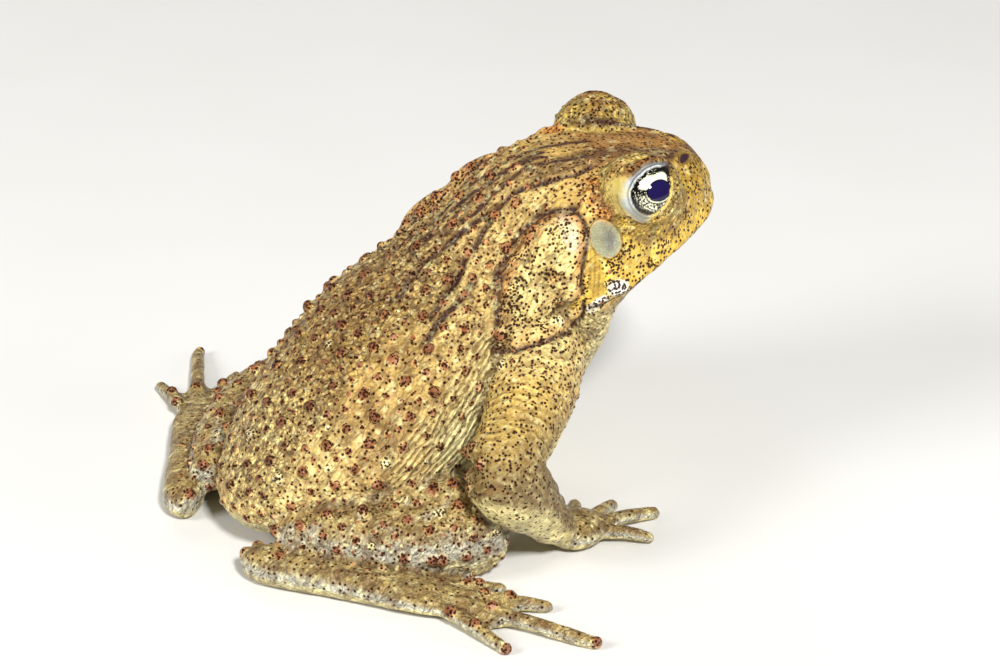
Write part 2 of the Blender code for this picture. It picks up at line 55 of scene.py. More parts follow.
# The middle line of the toad, as (place along it, how far it lies to the left).
MIDDLE_ALONG = (-55.5, -43.5, -33, -24, -15, -6, 2, 10.5, 20, 46)
MIDDLE_ACROSS = (-4.8, -3.2, -1.8, -0.6, -1.0, -1.0, -0.2, 0.6, 1.1, 1.2)

EYE = (29.1, 16.2, 64.0)
EYE_RADIUS = 6.5
GAZE = (0.102, 0.885, 0.454)
# The opening of the lids: its half angle in degrees, going round it from straight ahead (0) by
# the top (90). Its corner points forward and up.
LID_ROUND = (-180, -153, -133, -111, -98, -76, -43, -5, 32, 41, 46, 63, 92, 126, 162, 180)
LID_ANGLE = (43, 45, 46, 46, 42, 32, 26, 25, 37, 53, 66, 46, 37, 33, 38, 43)
EARDRUM, EARDRUM_SIZE = (20.2, 20.2, 57.7), (2.9, 3.2)
EARDRUM_LEAN = 0.12
# A nostril is an ellipse, set out by these measures of the way along it, across it and into it.
NOSTRIL = (40.2, 6.0, 65.7)
NOSTRIL_WAYS = ((0.83, 0.26, -0.56), (0.29, 0.57, -0.30), (0.25, 0.09, 0.42))
NOSTRIL_FILL = (40.9, 4.8, 65.3)  # the middle of the solids' own pit, which is filled first
NOSTRIL_FILL_ENDS, NOSTRIL_FILL_FULL = 4.6, 1.6  # distances from that middle
MOUTH_CORNER, MOUTH_RISE = (17.5, 44.3), 0.35  # (along, up) on the lip line, and its slope
CREST_ALONG = (15.5, 19, 23, 28, 33, 38, 43.5)
CREST_ACROSS = (18.5, 15, 11.4, 9.4, 8.6, 7.0, 3.6)
BEHIND_EYE = (20.5, 16.5, 63)  # the furrows stop short of this place
ORANGE_PATCH = (19.5, 13.5, 65.3), (20.9, 18.0, 61.8)  # the ends of the orange patch behind the eye
ARMPIT, FLANK_END = (-6, 25, 35), (-25, 28, 17)  # the ends of the pale, finely folded flank
FLANK_PALEST = (-2, 27, 36), (-16, 30, 22)  # the ends of its palest strip, beside the arm
SHOULDER, KNEE = (3, 20, 36), (-22, 37, 8)  # the limbs' cross folds lie round these places

# White patches seen from the side, as (along, up): at the corner of the jaw, at the lower end of
# the folds behind it, and at the upper tip of the gland.
JAW_PATCH, JAW_PATCH_SIZE = (22.0, 48.4), (1.5, 1.1)
FOLD_END = (16.9, 44.2), (19.4, 46.4)
GLAND_TIP = (12.6, 58.6)

# Outlines seen from the side and a little from above, as (along, up less a share of across):
# the parotoid gland, and the folds before it.
TILT = 0.42
GLAND = (
    (16.2, 52.5), (14.9, 54.2), (12.2, 54.9), (9.7, 54.6), (7.6, 53.7), (5.4, 52.2), (3.0, 50.4),
    (0.8, 48.3), (-1.2, 45.8), (-3.4, 43.6), (-4.9, 40.9), (-5.8, 38.2), (-6.3, 35.3), (-7.0, 32.3),
    (-7.4, 28.8), (-4.2, 29.2), (1.8, 29.6), (6.7, 30.0), (12.0, 30.8), (14.7, 32.6), (15.3, 34.3),
    (14.6, 36.9), (14.2, 39.7), (14.4, 42.4), (15.0, 44.9), (15.9, 47.2), (16.6, 49.6),
)
FOLDS = (
    (17.5, 50.3), (16.6, 47.8), (16.4, 43.7), (16.4, 39.6), (17.1, 36.3), (18.7, 36.3), (19.8, 37.0),
    (19.4, 40.4), (18.8, 44.2), (18.4, 47.6),
)

# Seen from above, as (along, across): the dark band of the head's top, which is darker on the
# right, and the dark furrows of the back.
BAND = ((12, 5.5), (18.6, 5.0), (25, 2.8), (29.8, 3.0), (36.6, 4.9), (39, 5.4))
FURROWS = (
    ((20.8, 8.0), (17.4, 9.6), (14.2, 9.8), (11.3, 9.1), (8.5, 8.0), (5.6, 6.9), (3.5, 6.5), (1.3, 7.3),
     (-2.5, 8.2), (-6.8, 9.7), (-11, 11.7), (-17, 14.5)),
    ((20.5, 17.2), (18.5, 17.1), (16.2, 16.9), (13.3, 15.7)),
    ((13.9, 1.1), (8.5, 0.3), (3.6, 0.4), (-0.9, 0.9), (-6.1, 1.2), (-10.7, 0.9), (-13.8, 1.4)),
    ((1.5, 6.4), (-2.8, 5.3), (-5.6, 5.0), (-10.2, 4.8), (-14, 4.7), (-18.6, 6.8), (-21.9, 7.0)),
    ((-7.5, 13.2), (-10.9, 14.3), (-15.9, 16.0), (-20, 17.5)),
    ((24, 3.0), (20, 3.8), (14.8, 3.5), (10.9, 2.6), (5, 3.4), (-1, 3.8), (-8, 3.0)),
)

FLESH = ["head", "torso"] + [
    f"{name}_{side}" for name in ("eardrum", "upper_arm", "forearm", "hand", "thigh", "shank", "foot")
    for side in ("left", "right")
]
LIMBS = {"arm": ("upper_arm", "forearm"), "leg": ("thigh", "shank"), "paw": ("hand", "foot")}

# The skin's mesh: how far the solids are grown to close their gaps, how far outside them the
# skin stays in the end, the size of its faces, its rounds of smoothing with the steps of each,
# and its height above the floor at its lowest.
GROW, STAY_OUT = 0.28, 0.05
FACE = 0.6
SMOOTH_ROUNDS, SMOOTH_STEPS = 16, (0.5, -0.53)
LOWEST = 0.02

# Warts as (smallest radius, largest radius, spacing for radii that add up to one, seed), and the
# ones that the solids have already: how far they stand out of the evened skin, and their radius.
LARGE_WARTS = (0.9, 1.6, 1.5, 5)
MEDIUM_WARTS = (0.45, 0.8, 1.3, 6)
WART_RISE, SOLID_WART = 0.2, 1.5
LARGE_SHARE, MEDIUM_SHARE = 0.25, 0.08  # of the mesh's points, tried as a wart's middle
WART_HEIGHT, WART_SEED = 0.6, 9  # the height is a share of the radius

# The spacing of the folds that are shaped, and of the finest ones, which the material draws.
ARM_FOLD, LEG_FOLD, FLANK_FOLD, THROAT_FOLD, NECK_FOLD = 1.75, 2.3, 2.1, 2.6, 0.95
FINEST_FOLD = 1.1

# The sizes of the skin's grain and the spacing of its dark dots.
PEBBLE, KNOB, NET, RIPPLE = 0.85, 1.9, 1.1, 1.7
SINGLE_DOTS, SMALL_DOTS, CLOSE_DOTS = 1.2, 0.98, 0.62
BUMP_HEIGHT = 0.46

# The camera, at the photograph's viewing angle.
CAMERA_AZIMUTH, CAMERA_ELEVATION = -28, 27
CAMERA_DISTANCE, CAMERA_LENS = 0.54987, 100
CAMERA_TARGET = (0.01395, -0.00029, 0.02857)

# The lamps as (name, place, size, watts), the place that they face, and the light from all round.
LAMPS = (
    ("key", (-0.14, -0.85, 0.85), 0.16, 17.5),
    ("front", (0.9, -0.6, 0.5), 0.5, 4),
    ("rear", (-0.95, 0.0, 0.6), 0.4, 9),
    ("left", (0.1, 0.95, 0.6), 0.5, 3.5),
)
LAMP_TARGET = (0, 0, 0.03)
SKY, SKY_STRENGTH = (0.9, 0.95, 1.0, 1), 0.13
FLOOR_RADIUS = 3


def rgb(red, green, blue):
    """A colour as a screen shows it, 0 to 255, as the linear one that a shader takes."""
    shares = np.array((red, green, blue)) / 255
    return np.where(shares < 0.04045, shares / 12.92, ((shares + 0.055) / 1.055) ** 2.4)


BACK = rgb(222, 184, 100)
BACK_DARK_AND_SHADE = rgb(152, 110, 52)
FLANK = rgb(190, 156, 90)
FLANK_PALE = rgb(250, 218, 136)
CREAM_AND_HIGHLIGHT = rgb(255, 242, 172)
GLAND_CREAM = rgb(255, 224, 140)
GLAND_ORANGE = rgb(214, 134, 56)
FACE_YELLOW = rgb(242, 202, 80)
LIP_YELLOW = rgb(210, 172, 62)
SNOUT = rgb(190, 152, 52)
HEAD_TOP = rgb(182, 132, 66)
LEG = rgb(188, 162, 98)
LEG_LOW = rgb(216, 216, 194)
ARM = rgb(246, 206, 104)
ARM_LOW = rgb(98, 82, 46)
BELLY = rgb(255, 238, 164)
LID = rgb(220, 190, 92)
LID_ORANGE = rgb(196, 122, 44)
LID_WHITE = rgb(244, 246, 240)
LID_PALE = rgb(150, 138, 74)
LID_GREY = rgb(122, 132, 134)
LID_BLUE = rgb(112, 122, 126)
WHITE_PATCH = rgb(255, 250, 236)
DRUM = rgb(132, 130, 94)
DRUM_DARK = rgb(92, 88, 82)
FURROW_AND_SHADE = rgb(58, 32, 30)
CREST_DARK = rgb(66, 40, 38)
WART_ORANGE = rgb(208, 138, 82)
WART_RED = rgb(118, 56, 32)
WART_PALE = rgb(250, 230, 168)
RIM = rgb(128, 78, 36)
DOT = rgb(40, 18, 9)
MOTTLE_AND_SHADE = rgb(106, 74, 34)
DARK_MARK_AND_SHADE = rgb(58, 36, 32)
NOSTRIL_SHADE = rgb(56, 32, 42)
TOE_TIP = rgb(104, 72, 44)
FLOOR_DARK, FLOOR_PALE = rgb(212, 210, 205), rgb(218, 216, 212)


def soft(value, low, high):
    """0 below low, 1 above high, and a smooth step between; low may be the larger."""
    share = np.clip((value - low) / (high - low), 0, 1)
    return share * share * (3 - 2 * share)


def bell(value, width):
    return np.exp(-((value / width) ** 2))


def turned(points):
    """The points after the turn of the head."""
    angle = HEAD_TURN * soft(points[:, 0], TURN_STARTS, TURN_ENDS)
    along, across = points[:, 0] - TURN_STARTS, points[:, 1]
    return np.column_stack((
        along * np.cos(angle) - across * np.sin(angle) + TURN_STARTS,
        along * np.sin(angle) + across * np.cos(angle),
        points[:, 2],
    ))


def straight(points):
    """The points as they were before the turn of the head."""
    found = points.copy()
    for _ in range(25):
        found += points - turned(found)
    return found


def frame_place(point):
    """A point in units, after the turn of the head, as a place in the frame in metres."""
    return (np.asarray(point) + ORIGIN_SHIFT) * UNIT


def on_side(point, side):
    """A point of the head's left side (1) or its mirror image (-1), after the head's turn."""
    middle = np.interp(point[0], MIDDLE_ALONG, MIDDLE_ACROSS)
    return turned(np.array([(point[0], point[1] * side + middle, point[2])]))[0]


def gaze_axes(side):
    """The eye's line of sight, the direction to the toad's front across it, and the one up."""
    turn = Matrix.Rotation(HEAD_TURN, 3, "Z")
    gaze = (turn @ Vector((GAZE[0], GAZE[1] * side, GAZE[2]))).normalized()
    ahead = turn @ Vector((1, 0, 0))
    front = (ahead - gaze * ahead.dot(gaze)).normalized()
    up = gaze.cross(front) * -side
    return [np.array(axis) for axis in (gaze, front, up)]


def smooth_noise(points, size, seed=0.0):
    """Soft noise between about -1 and 1, with features of the given size in units."""
    shift = Vector((seed * 7.3, seed * 3.1, seed * 5.7))
    return np.array([noise.noise(Vector(point) / size + shift) for point in points])


def new_object(name, data):
    obj = bpy.data.objects.new(name, data)
    bpy.context.scene.collection.objects.link(obj)
    return obj


def finished_mesh(bm, name):
    mesh = bpy.data.meshes.new(name)
    bm.to_mesh(mesh)
    bm.free()
    return mesh


def modified(obj, kind, **settings):
    """Adds one modifier and applies it."""
    modifier = obj.modifiers.new(kind.title(), kind)
    for key, value in settings.items():
        setattr(modifier, key, value)
    graph = bpy.context.evaluated_depsgraph_get()
    mesh = bpy.data.meshes.new_from_object(obj.evaluated_get(graph))
    obj.modifiers.clear()
    old, obj.data = obj.data, mesh
    bpy.data.meshes.remove(old)


def read_values(collection, name, width, kind=np.float32):
    """One property of every item of a mesh's collection, as rows of the given width."""
    values = np.empty(len(collection) * width, dtype=kind)
    collection.foreach_get(name, values)
    return values.reshape(-1, width)


def store_colours(mesh, name, colours):
    layer = mesh.attributes.new(name, "FLOAT_COLOR", "POINT")
    with_alpha = np.column_stack((colours, np.ones(len(colours)))).astype(np.float32)
    layer.data.foreach_set("color", with_alpha.ravel())


class Surface:
    """A mesh as arrays: its points in units, their normals, and where they lie on the toad. The
    steps of skin_detail keep their masks on it too."""

    def __init__(self, mesh):
        self.mesh = mesh
        self.points = read_values(mesh.vertices, "co", 3).astype(float) / UNIT - ORIGIN_SHIFT
        self.edges = read_values(mesh.edges, "vertices", 2, np.int32)
        self.degree = np.bincount(self.edges.ravel(), minlength=len(self.points))
        self.locate()

    def locate(self):
        """The normals, and how far each point is along the toad, across its middle line, and up."""
        self.normals = read_values(self.mesh.vertex_normals, "vector", 3).astype(float)
        plain = straight(self.points)
        middle = np.interp(plain[:, 0], MIDDLE_ALONG, MIDDLE_ACROSS)
        self.along = plain[:, 0]
        self.across = np.abs(plain[:, 1] - middle)
        self.up = plain[:, 2]
        self.right = soft(middle - plain[:, 1], -1, 1)
        self.half = np.column_stack((self.along, self.across, self.up))

    def averaged(self, values):
        """Each point's mean over the points beside it."""
        first, second = self.edges[:, 0], self.edges[:, 1]
        total = np.bincount(first, values[second], len(values))
        total += np.bincount(second, values[first], len(values))
        return total / self.degree

    def smooth(self):
        """Evens out small bumps without shrinking the form."""
        for _ in range(SMOOTH_ROUNDS):
            for step in SMOOTH_STEPS:
                mean = np.column_stack([self.averaged(values) for values in self.points.T])
                self.points += step * (mean - self.points)

    def softened(self, values, rounds):
        for _ in range(rounds):
            values = 0.5 * values + 0.5 * self.averaged(values)
        return values

    def evened(self, rounds):
        """The points, each drawn toward those beside it."""
        return np.column_stack([self.softened(values, rounds) for values in self.points.T])

    def height_over(self, even):
        """How far each point stands out of an evened surface."""
        return np.einsum("ij,ij->i", self.points - even, self.normals)

    def write(self):
        places = ((self.points + ORIGIN_SHIFT) * UNIT).astype(np.float32)
        self.mesh.vertices.foreach_set("co", places.ravel())
        self.mesh.update()
        self.locate()

    def store(self, name, values):
        layer = self.mesh.attributes.new(name, "FLOAT", "POINT")
        layer.data.foreach_set("value", values.astype(np.float32))

    def stored(self, name):
        return read_values(self.mesh.attributes[name].data, "value", 1)[:, 0].astype(float)


def joined_flesh():
    """One object that holds every fleshy node and both eyeballs, as separate shells."""
    bm = bmesh.new()
    for name in FLESH + ["eye_left", "eye_right"]:
        bm.from_mesh(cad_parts[name].data)
    return new_object("toad_skin", finished_mesh(bm, "toad_skin"))


def largest_shell(mesh):
    """Drops every closed surface of the mesh but the largest."""
    bm = bmesh.new()
    bm.from_mesh(mesh)
    left, largest = set(bm.verts), set()
    while left:
        shell, edge = set(), {left.pop()}
        while edge:
            shell |= edge
            edge = {link.other_vert(vert) for vert in edge for link in vert.link_edges} & left
            left -= edge
        largest = max(largest, shell, key=len)
    bmesh.ops.delete(bm, geom=list(set(bm.verts) - largest), context="VERTS")
    bm.to_mesh(mesh)
    bm.free()


def mark_limbs(surface):
    """Stores how much each point belongs to the arms, the legs, and the hands and feet."""
    corners, faces, owners = [], [], []
    for name in FLESH:
        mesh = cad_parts[name].data
        start = len(corners)
        corners += [vert.co / UNIT - Vector(ORIGIN_SHIFT) for vert in mesh.vertices]
        for face in mesh.polygons:
            faces.append([start + index for index in face.vertices])
            owners.append(name.rsplit("_", 1)[0])
    tree = BVHTree.FromPolygons(corners, faces)
    nearest = [owners[tree.find_nearest(Vector(point))[2]] for point in surface.points]
    for kind, names in LIMBS.items():
        share = np.array([float(name in names) for name in nearest])
        surface.store(kind, surface.softened(share, 12))


def solid_warts(surface):
    """The middles of the solids' own warts: the tops that stand out of the skin round them."""
    rise = surface.height_over(surface.evened(40))
    rise -= surface.softened(rise, 60)
    peak = rise.copy()
    first, second = surface.edges[:, 0], surface.edges[:, 1]
    for _ in range(3):
        grown = peak.copy()
        np.maximum.at(grown, first, peak[second])
        np.maximum.at(grown, second, peak[first])
        peak = grown
    on_body = (surface.along < 8) & (surface.normals[:, 2] > -0.3)
    return np.nonzero((rise >= peak - 1e-9) & (rise > WART_RISE) & on_body)[0]


def base_skin():
    """One even skin over all the flesh, without seams, and the places of the solids' warts."""
    obj = joined_flesh()
    modified(obj, "DISPLACE", strength=GROW * UNIT, mid_level=0)
    modified(obj, "REMESH", mode="VOXEL", voxel_size=FACE * UNIT)
    largest_shell(obj.data)
    surface = Surface(obj.data)
    surface.smooth()
    surface.write()
    bumps = solid_warts(surface)
    fill = soft(np.linalg.norm(surface.half - NOSTRIL_FILL, axis=1), NOSTRIL_FILL_ENDS, NOSTRIL_FILL_FULL)
    surface.points += (surface.evened(60) + 0.5 * surface.normals - surface.points) * fill[:, None]
    surface.points -= surface.normals * (GROW - STAY_OUT)
    surface.write()
    mark_limbs(surface)
    # How far each point lies sunk under the evened skin; the creases made from it get painted shade.
    surface.store("hollow", surface.softened(-surface.height_over(surface.evened(14)), 2))
    return obj, surface.points[bumps]


def scattered(points, chance_at, kind, taken):
    """Places of warts, kept apart from each other and from those already taken."""
    low, high, room, seed = kind
    chance = np.random.default_rng(seed)
    tries = np.nonzero(chance.random(len(points)) < chance_at)[0]
    tries = chance.permutation(tries)
    cell = 2 * room * LARGE_WARTS[1]
    grid = {}

    def keep(point, radius):
        grid.setdefault(tuple((point // cell).astype(int)), []).append((point, radius))

    for point, radius in taken:
        keep(point, radius)
    found = []
    for index in tries:
        point = points[index]
        radius = low + (high - low) * chance.random() ** 1.2
        home = (point // cell).astype(int)
        near = [
            item
            for dx in (-1, 0, 1) for dy in (-1, 0, 1) for dz in (-1, 0, 1)
            for item in grid.get((home[0] + dx, home[1] + dy, home[2] + dz), ())
        ]
        if all(np.sum((point - other) ** 2) > (room * (radius + size)) ** 2 for other, size in near):
            keep(point, radius)
            found.append((point, radius))
    return found


def raise_warts(surface, warts):
    """The height that the warts give each point, how far up a wart it is, and the wart's tint."""
    chance = np.random.default_rng(WART_SEED)
    tree = KDTree(len(surface.points))
    for index, point in enumerate(surface.points):
        tree.insert(point, index)
    tree.balance()
    ragged = 1 + 0.3 * smooth_noise(surface.points, 0.8, WART_SEED)
    rise = np.zeros(len(surface.points))
    mask = np.zeros(len(surface.points))
    tint = np.zeros(len(surface.points))
    for point, radius in warts:
        shade = chance.random()
        peak = WART_HEIGHT * radius * chance.uniform(0.75, 1.2)
        for _, index, distance in tree.find_range(point, radius * 1.4):
            share = distance / radius * ragged[index]
            if share < 1:
                level = 1 - share * share
                bump = peak * level ** 1.25
                if level > mask[index]:
                    mask[index] = level
                    tint[index] = shade
            else:
                bump = -0.1 * peak * math.sin(min((share - 1) / 0.25, 1) * math.pi)
            if abs(bump) > abs(rise[index]):
                rise[index] = bump
    return rise, mask, tint


def inside(first, second, outline):
    """How far each place lies inside an outline in a plane; negative outside."""
    closed = outline + outline[:1]
    within = np.zeros(len(first), bool)
    for (here, level), (there, next_level) in zip(closed, closed[1:]):
        slope = (there - here) / (next_level - level + 1e-12)
        between = (level > second) != (next_level > second)
        within ^= between & (first < slope * (second - level) + here)
    nearest = line_distance(first, second, closed)
    return np.where(within, nearest, -nearest)


def line_distance(first, second, line):
    """How far each place in a plane lies from a line of points."""
    places = np.column_stack((first, second))
    return np.min([segment_distance(places, *ends) for ends in zip(line, line[1:])], axis=0)


def segment_distance(points, start, end):
    """How far each point lies from a straight piece, in a plane or in space."""
    start, end = np.array(start, float), np.array(end, float)
    way = end - start
    share = np.clip((points - start) @ way / (way @ way), 0, 1)
    return np.linalg.norm(points - start - share[:, None] * way, axis=1)


def wave(phase, spacing):
    return np.sin(phase * 2 * math.pi / spacing)


def lip_height(surface):
    """How far each point lies above the line of the lips."""
    along, up = MOUTH_CORNER
    return surface.up - up - MOUTH_RISE * (surface.along - along)


def shape_eyelids(surface):
    """Fits the lids to the eyeballs; returns how many degrees each point lies outside the
    opening, and its direction round it from straight ahead."""
    outside = np.full(len(surface.points), 180.0)
    bearing = np.zeros(len(surface.points))
    for side in (1, -1):
        centre = on_side(EYE, side)
        gaze, front, up = gaze_axes(side)
        offset = surface.points - centre
        distance = np.linalg.norm(offset, axis=1)
        near = distance < 2 * EYE_RADIUS
        distance = distance[near]
        way = offset[near] / distance[:, None]
        angle = np.degrees(np.arccos(np.clip(way @ gaze, -1, 1)))
        around = np.degrees(np.arctan2(way @ up, way @ front))
        beyond = angle - np.interp(around, LID_ROUND, LID_ANGLE)
        share = soft(beyond, -2.2, 1.2)
        radius = (EYE_RADIUS - 0.8) * (1 - share) + lid_radius(beyond, around, distance) * share
        keep = soft(angle, 105, 80)
        radius = distance * (1 - keep) + radius * keep
        surface.points[near] = centre + way * radius[:, None]
        outside[near] = np.where(angle < 110, beyond, 180)
        bearing[near] = around
    surface.write()
    return outside, bearing


def lid_radius(beyond, around, distance):
    """How far a lid stands from the eye's middle: a thin edge that runs out into the skin."""
    closest = EYE_RADIUS + 0.3
    lid = closest + 0.85 * brow_share(beyond, around) + 0.2 * bell(beyond - 2, 3)
    top = 14 * bell(around - 100, 40)
    width = 20 - 12 * bell(around + 20, 70)
    blend = soft(beyond, 3 + top, width + top)
    return np.maximum(distance, closest) * blend + lid * (1 - blend)


def brow_share(outside, bearing):
    """The fold of the upper lid, which lies further from the opening toward the front."""
    middle = np.interp(bearing, (41, 48, 63, 92, 129, 150), (8, 12, 24, 17, 18, 14))
    reach = soft(bearing, 34, 46) * soft(bearing, 156, 130)
    return bell(outside - middle, 6.5) * reach


def paint_over(colour, paint, share):
    share = np.clip(share, 0, 1)[:, None]
    return colour * (1 - share) + paint * share


def find_head(skin):
    """Shares of the head's regions, and distances from the lips, gland, eardrum and nostril."""
    along, across, up, facing_up = skin.places
    _, patchy, fine, _ = skin.noises
    skin.head = soft(along, 10, 15) * skin.body
    skin.eye_distance = np.linalg.norm(skin.half - EYE, axis=1)
    skin.dome = soft(skin.eye_distance, 11, 8.5) * skin.head
    skin.lips = lip_height(skin)
    skin.mouth = soft(along, MOUTH_CORNER[0] - 1.5, MOUTH_CORNER[0] + 0.5) * skin.head
    skin.below = soft(skin.lips, 0.6, -0.8) * skin.head
    skin.raised = up - TILT * across
    gland = inside(along + 0.25 * patchy, skin.raised + 0.25 * fine, GLAND)
    skin.gland = np.where((across > 11) & (facing_up > -0.3) & (skin.paw < 0.2), gland, -9)
    skin.gland_mask = soft(skin.gland, -0.2, 0.4)
    skin.gland_edge = bell(skin.gland + 0.2, 0.5) * soft(across, 11, 13)
    leaned = along - EARDRUM[0] + EARDRUM_LEAN * (up - EARDRUM[2])
    drum = np.hypot(leaned / EARDRUM_SIZE[0], (up - EARDRUM[2]) / EARDRUM_SIZE[1])
    skin.drum = np.where((across > 15) & (skin.head > 0.5), drum, 9)
    skin.folds = soft(inside(along, skin.raised, FOLDS), -0.5, 0.5) * soft(across, 15, 18)
    skin.folds *= skin.head * soft(skin.drum, 1, 1.15)
    skin.crest_across = np.interp(along, CREST_ALONG, CREST_ACROSS)
    skin.crest_reach = soft(up, 60, 63) * soft(along, 14, 17) * soft(along, 45, 42)
    skin.top = soft(skin.crest_across - across, -0.5, 1) * soft(up, 58, 61) * skin.head
    skin.nostril = np.linalg.norm((skin.half - NOSTRIL) @ np.transpose(NOSTRIL_WAYS), axis=1)


def find_body(skin):
    """Shares of the body's regions, and distances from the shoulder and the knee."""
    along, across, up, facing_up = skin.places
    broad, patchy, _, _ = skin.noises
    from_flank = segment_distance(skin.half, ARMPIT, FLANK_END) + 1.2 * patchy
    skin.flank = soft(from_flank, 10, 6) * skin.body * (1 - skin.gland_mask)
    skin.belly = soft(facing_up, 0, -0.4) * soft(up, 34, 26)
    skin.throat = soft(along, -2, 4) * soft(skin.lips, 0, -3) * soft(facing_up, 0.25, -0.1) * skin.body
    skin.upper_throat = soft(along, 2, 8) * soft(skin.lips, 0, -3) * skin.body
    skin.granular = soft(along, -6, -14) * soft(across + 2 * broad, 15, 10) * soft(facing_up, 0.2, 0.5)
    skin.granular *= skin.body
    skin.shoulders = soft(along, -24, -14) * soft(facing_up, 0.1, 0.4) * soft(skin.gland, 0.3, -0.3)
    skin.shoulders *= skin.body
    skin.high = soft(up, 40, 56) * skin.body
    skin.shoulder = np.linalg.norm(skin.half - SHOULDER, axis=1)
    skin.knee = np.linalg.norm(skin.half - KNEE, axis=1)


def find_furrows(skin):
    """The furrows of the back, the ridges beside them, and the creases between the limbs, which get
    painted shade.
    """
    along, across, up, _ = skin.places
    _, patchy, _, wander = skin.noises
    skin.furrow = np.zeros(len(along))
    skin.ridge = np.zeros(len(along))
    for line in FURROWS:
        distance = line_distance(along + 0.6 * wander, across + 0.6 * wander, line)
        skin.furrow = np.maximum(skin.furrow, bell(distance, 0.68 + 0.2 * patchy))
        skin.ridge = np.maximum(skin.ridge, bell(distance - 1.2, 0.8))
    reach = soft(along, 27, 22) * soft(along, -27, -18) * soft(up, 38, 42) * skin.body
    reach *= soft(skin.gland, 0.3, -0.2)
    from_eye = np.linalg.norm(skin.half - BEHIND_EYE, axis=1)
    skin.furrow *= reach * soft(patchy, -0.8, -0.4) * soft(from_eye, 3, 6)
    skin.ridge *= reach * (1 - skin.furrow)
    # The creases, the skin's hollows: sunk a little, kept free of warts, and darkened with painted shade.
    skin.crease = soft(skin.stored("hollow"), 0.10, 0.34) * soft(up, 0.8, 3)
    skin.crease *= soft(skin.outside, 20, 35) * (1 - skin.mouth * bell(skin.lips, 2))
    skin.crease *= 1 - 0.8 * soft(skin.eye_distance, 16, 12) * skin.head


def place_warts(skin, bumps):
    """Scatters warts where they may stand; returns the height that they give each point."""
    along, facing_up = skin.places[0], skin.places[3]
    free = soft(skin.outside, 22, 32) * soft(skin.drum, 1.3, 1.7) * soft(skin.nostril, 1.4, 2)
    free *= (1 - skin.below) * (1 - skin.folds) * (1 - skin.crease)
    back = skin.body * soft(along, 13, 6) * soft(facing_up, -0.45, -0.15)
    back *= (1 - skin.throat) * (1 - skin.upper_throat)
    spare = free * (1 - skin.gland_mask) * (1 - 0.9 * skin.flank) * (1 - 0.6 * skin.high)
    large_at = back * (1 - 0.6 * skin.furrow) + 0.6 * skin.leg * soft(facing_up, -0.5, 0)
    large_at *= spare * (1 - 0.8 * skin.high)
    medium_at = back + 0.9 * skin.leg + 0.7 * skin.arm * soft(skin.shoulder, 22, 12)
    medium_at = spare * (medium_at + 0.05 * skin.head * soft(along, 28, 22))
    solid = [(point, SOLID_WART) for point in bumps]
    large = solid + scattered(skin.points, LARGE_SHARE * large_at, LARGE_WARTS, solid)
    medium = scattered(skin.points, MEDIUM_SHARE * medium_at, MEDIUM_WARTS, large)
    rise, wart, skin.tint = raise_warts(skin, large + medium)
    skin.wart = wart * free
    return rise


def find_folds(skin):
    """The waves of the shaped folds, and the phase of the finer ones that the material draws."""
    along, _, up, _ = skin.places
    _, patchy, fine, wander = skin.noises
    skin.arm_fold = wave(skin.shoulder + 0.5 * patchy, ARM_FOLD)
    skin.leg_fold = wave(skin.knee + 0.8 * patchy + 0.3 * wander, LEG_FOLD)
    skin.neck_fold = wave(along - 0.06 * up, NECK_FOLD)
    skin.throat_fold = wave(up + 2.5 * patchy, THROAT_FOLD)
    flank_way = np.array(FLANK_END, float) - np.array(ARMPIT, float)
    flank_across = np.cross(flank_way / np.linalg.norm(flank_way), (0, 1, 0))
    flank_phase = skin.half @ flank_across + 0.5 * wander + 0.2 * patchy + 0.1 * fine
    skin.flank_fold = wave(flank_phase, FLANK_FOLD)
    neck_phase = 0.8 * up + 0.6 * along + 2.2 * wander + 0.6 * fine
    phase = np.where(skin.arm > 0.3, 0.7 * skin.shoulder + 0.8 * wander, neck_phase)
    skin.phase = np.where(skin.flank > 0.02, flank_phase, phase)
    folding = 0.8 * skin.flank + 0.2 * skin.upper_throat + 0.2 * skin.throat + 0.3 * skin.arm
    skin.folding = np.clip(folding, 0, 1) * (1 - skin.gland_mask)


def relief(skin):
    """How far the fine forms other than warts move each point along its normal."""
    along, across, _, _ = skin.places
    broad, patchy, fine, _ = skin.noises
    lips, drum, nostril, gland = skin.lips, skin.drum, skin.nostril, skin.gland
    move = 0.08 * skin.flank * skin.flank_fold
    move += 0.17 * skin.arm * (1 - skin.gland_mask) * skin.arm_fold * soft(patchy, -0.8, 0.1)
    move += 0.12 * skin.leg * skin.leg_fold * soft(broad, -0.8, 0.1)
    move += 0.10 * skin.throat * skin.throat_fold
    move += (0.36 * skin.ridge - 0.55 * skin.furrow) * soft(across, 3, 6)
    crest = bell(across - skin.crest_across, 0.9) * skin.crest_reach
    move += 0.6 * crest * (1 - 0.7 * soft(along, 32, 38))
    move -= 0.45 * skin.top * bell(across, 4.5) * soft(along, 12, 18)
    move += skin.body * (0.16 * patchy + 0.06 * fine) + 0.1 * skin.limb * patchy
    move -= 0.25 * skin.crease
    lip_form = 0.38 * bell(lips - 1.7, 1.2) - 0.6 * bell(lips, 0.36) + 0.12 * bell(lips + 1.3, 0.8)
    move += skin.mouth * lip_form
    move += 0.15 * bell(nostril - 1.4, 0.3) - 0.4 * soft(nostril, 1.05, 0.5)
    move += 0.22 * bell(drum - 1.12, 0.1) - 0.25 * soft(drum, 1.05, 0.6)
    move += 0.75 * soft(gland, -0.1, 2.2) - 0.5 * skin.gland_edge
    move -= skin.folds * (0.2 + 0.08 * skin.neck_fold)
    return move


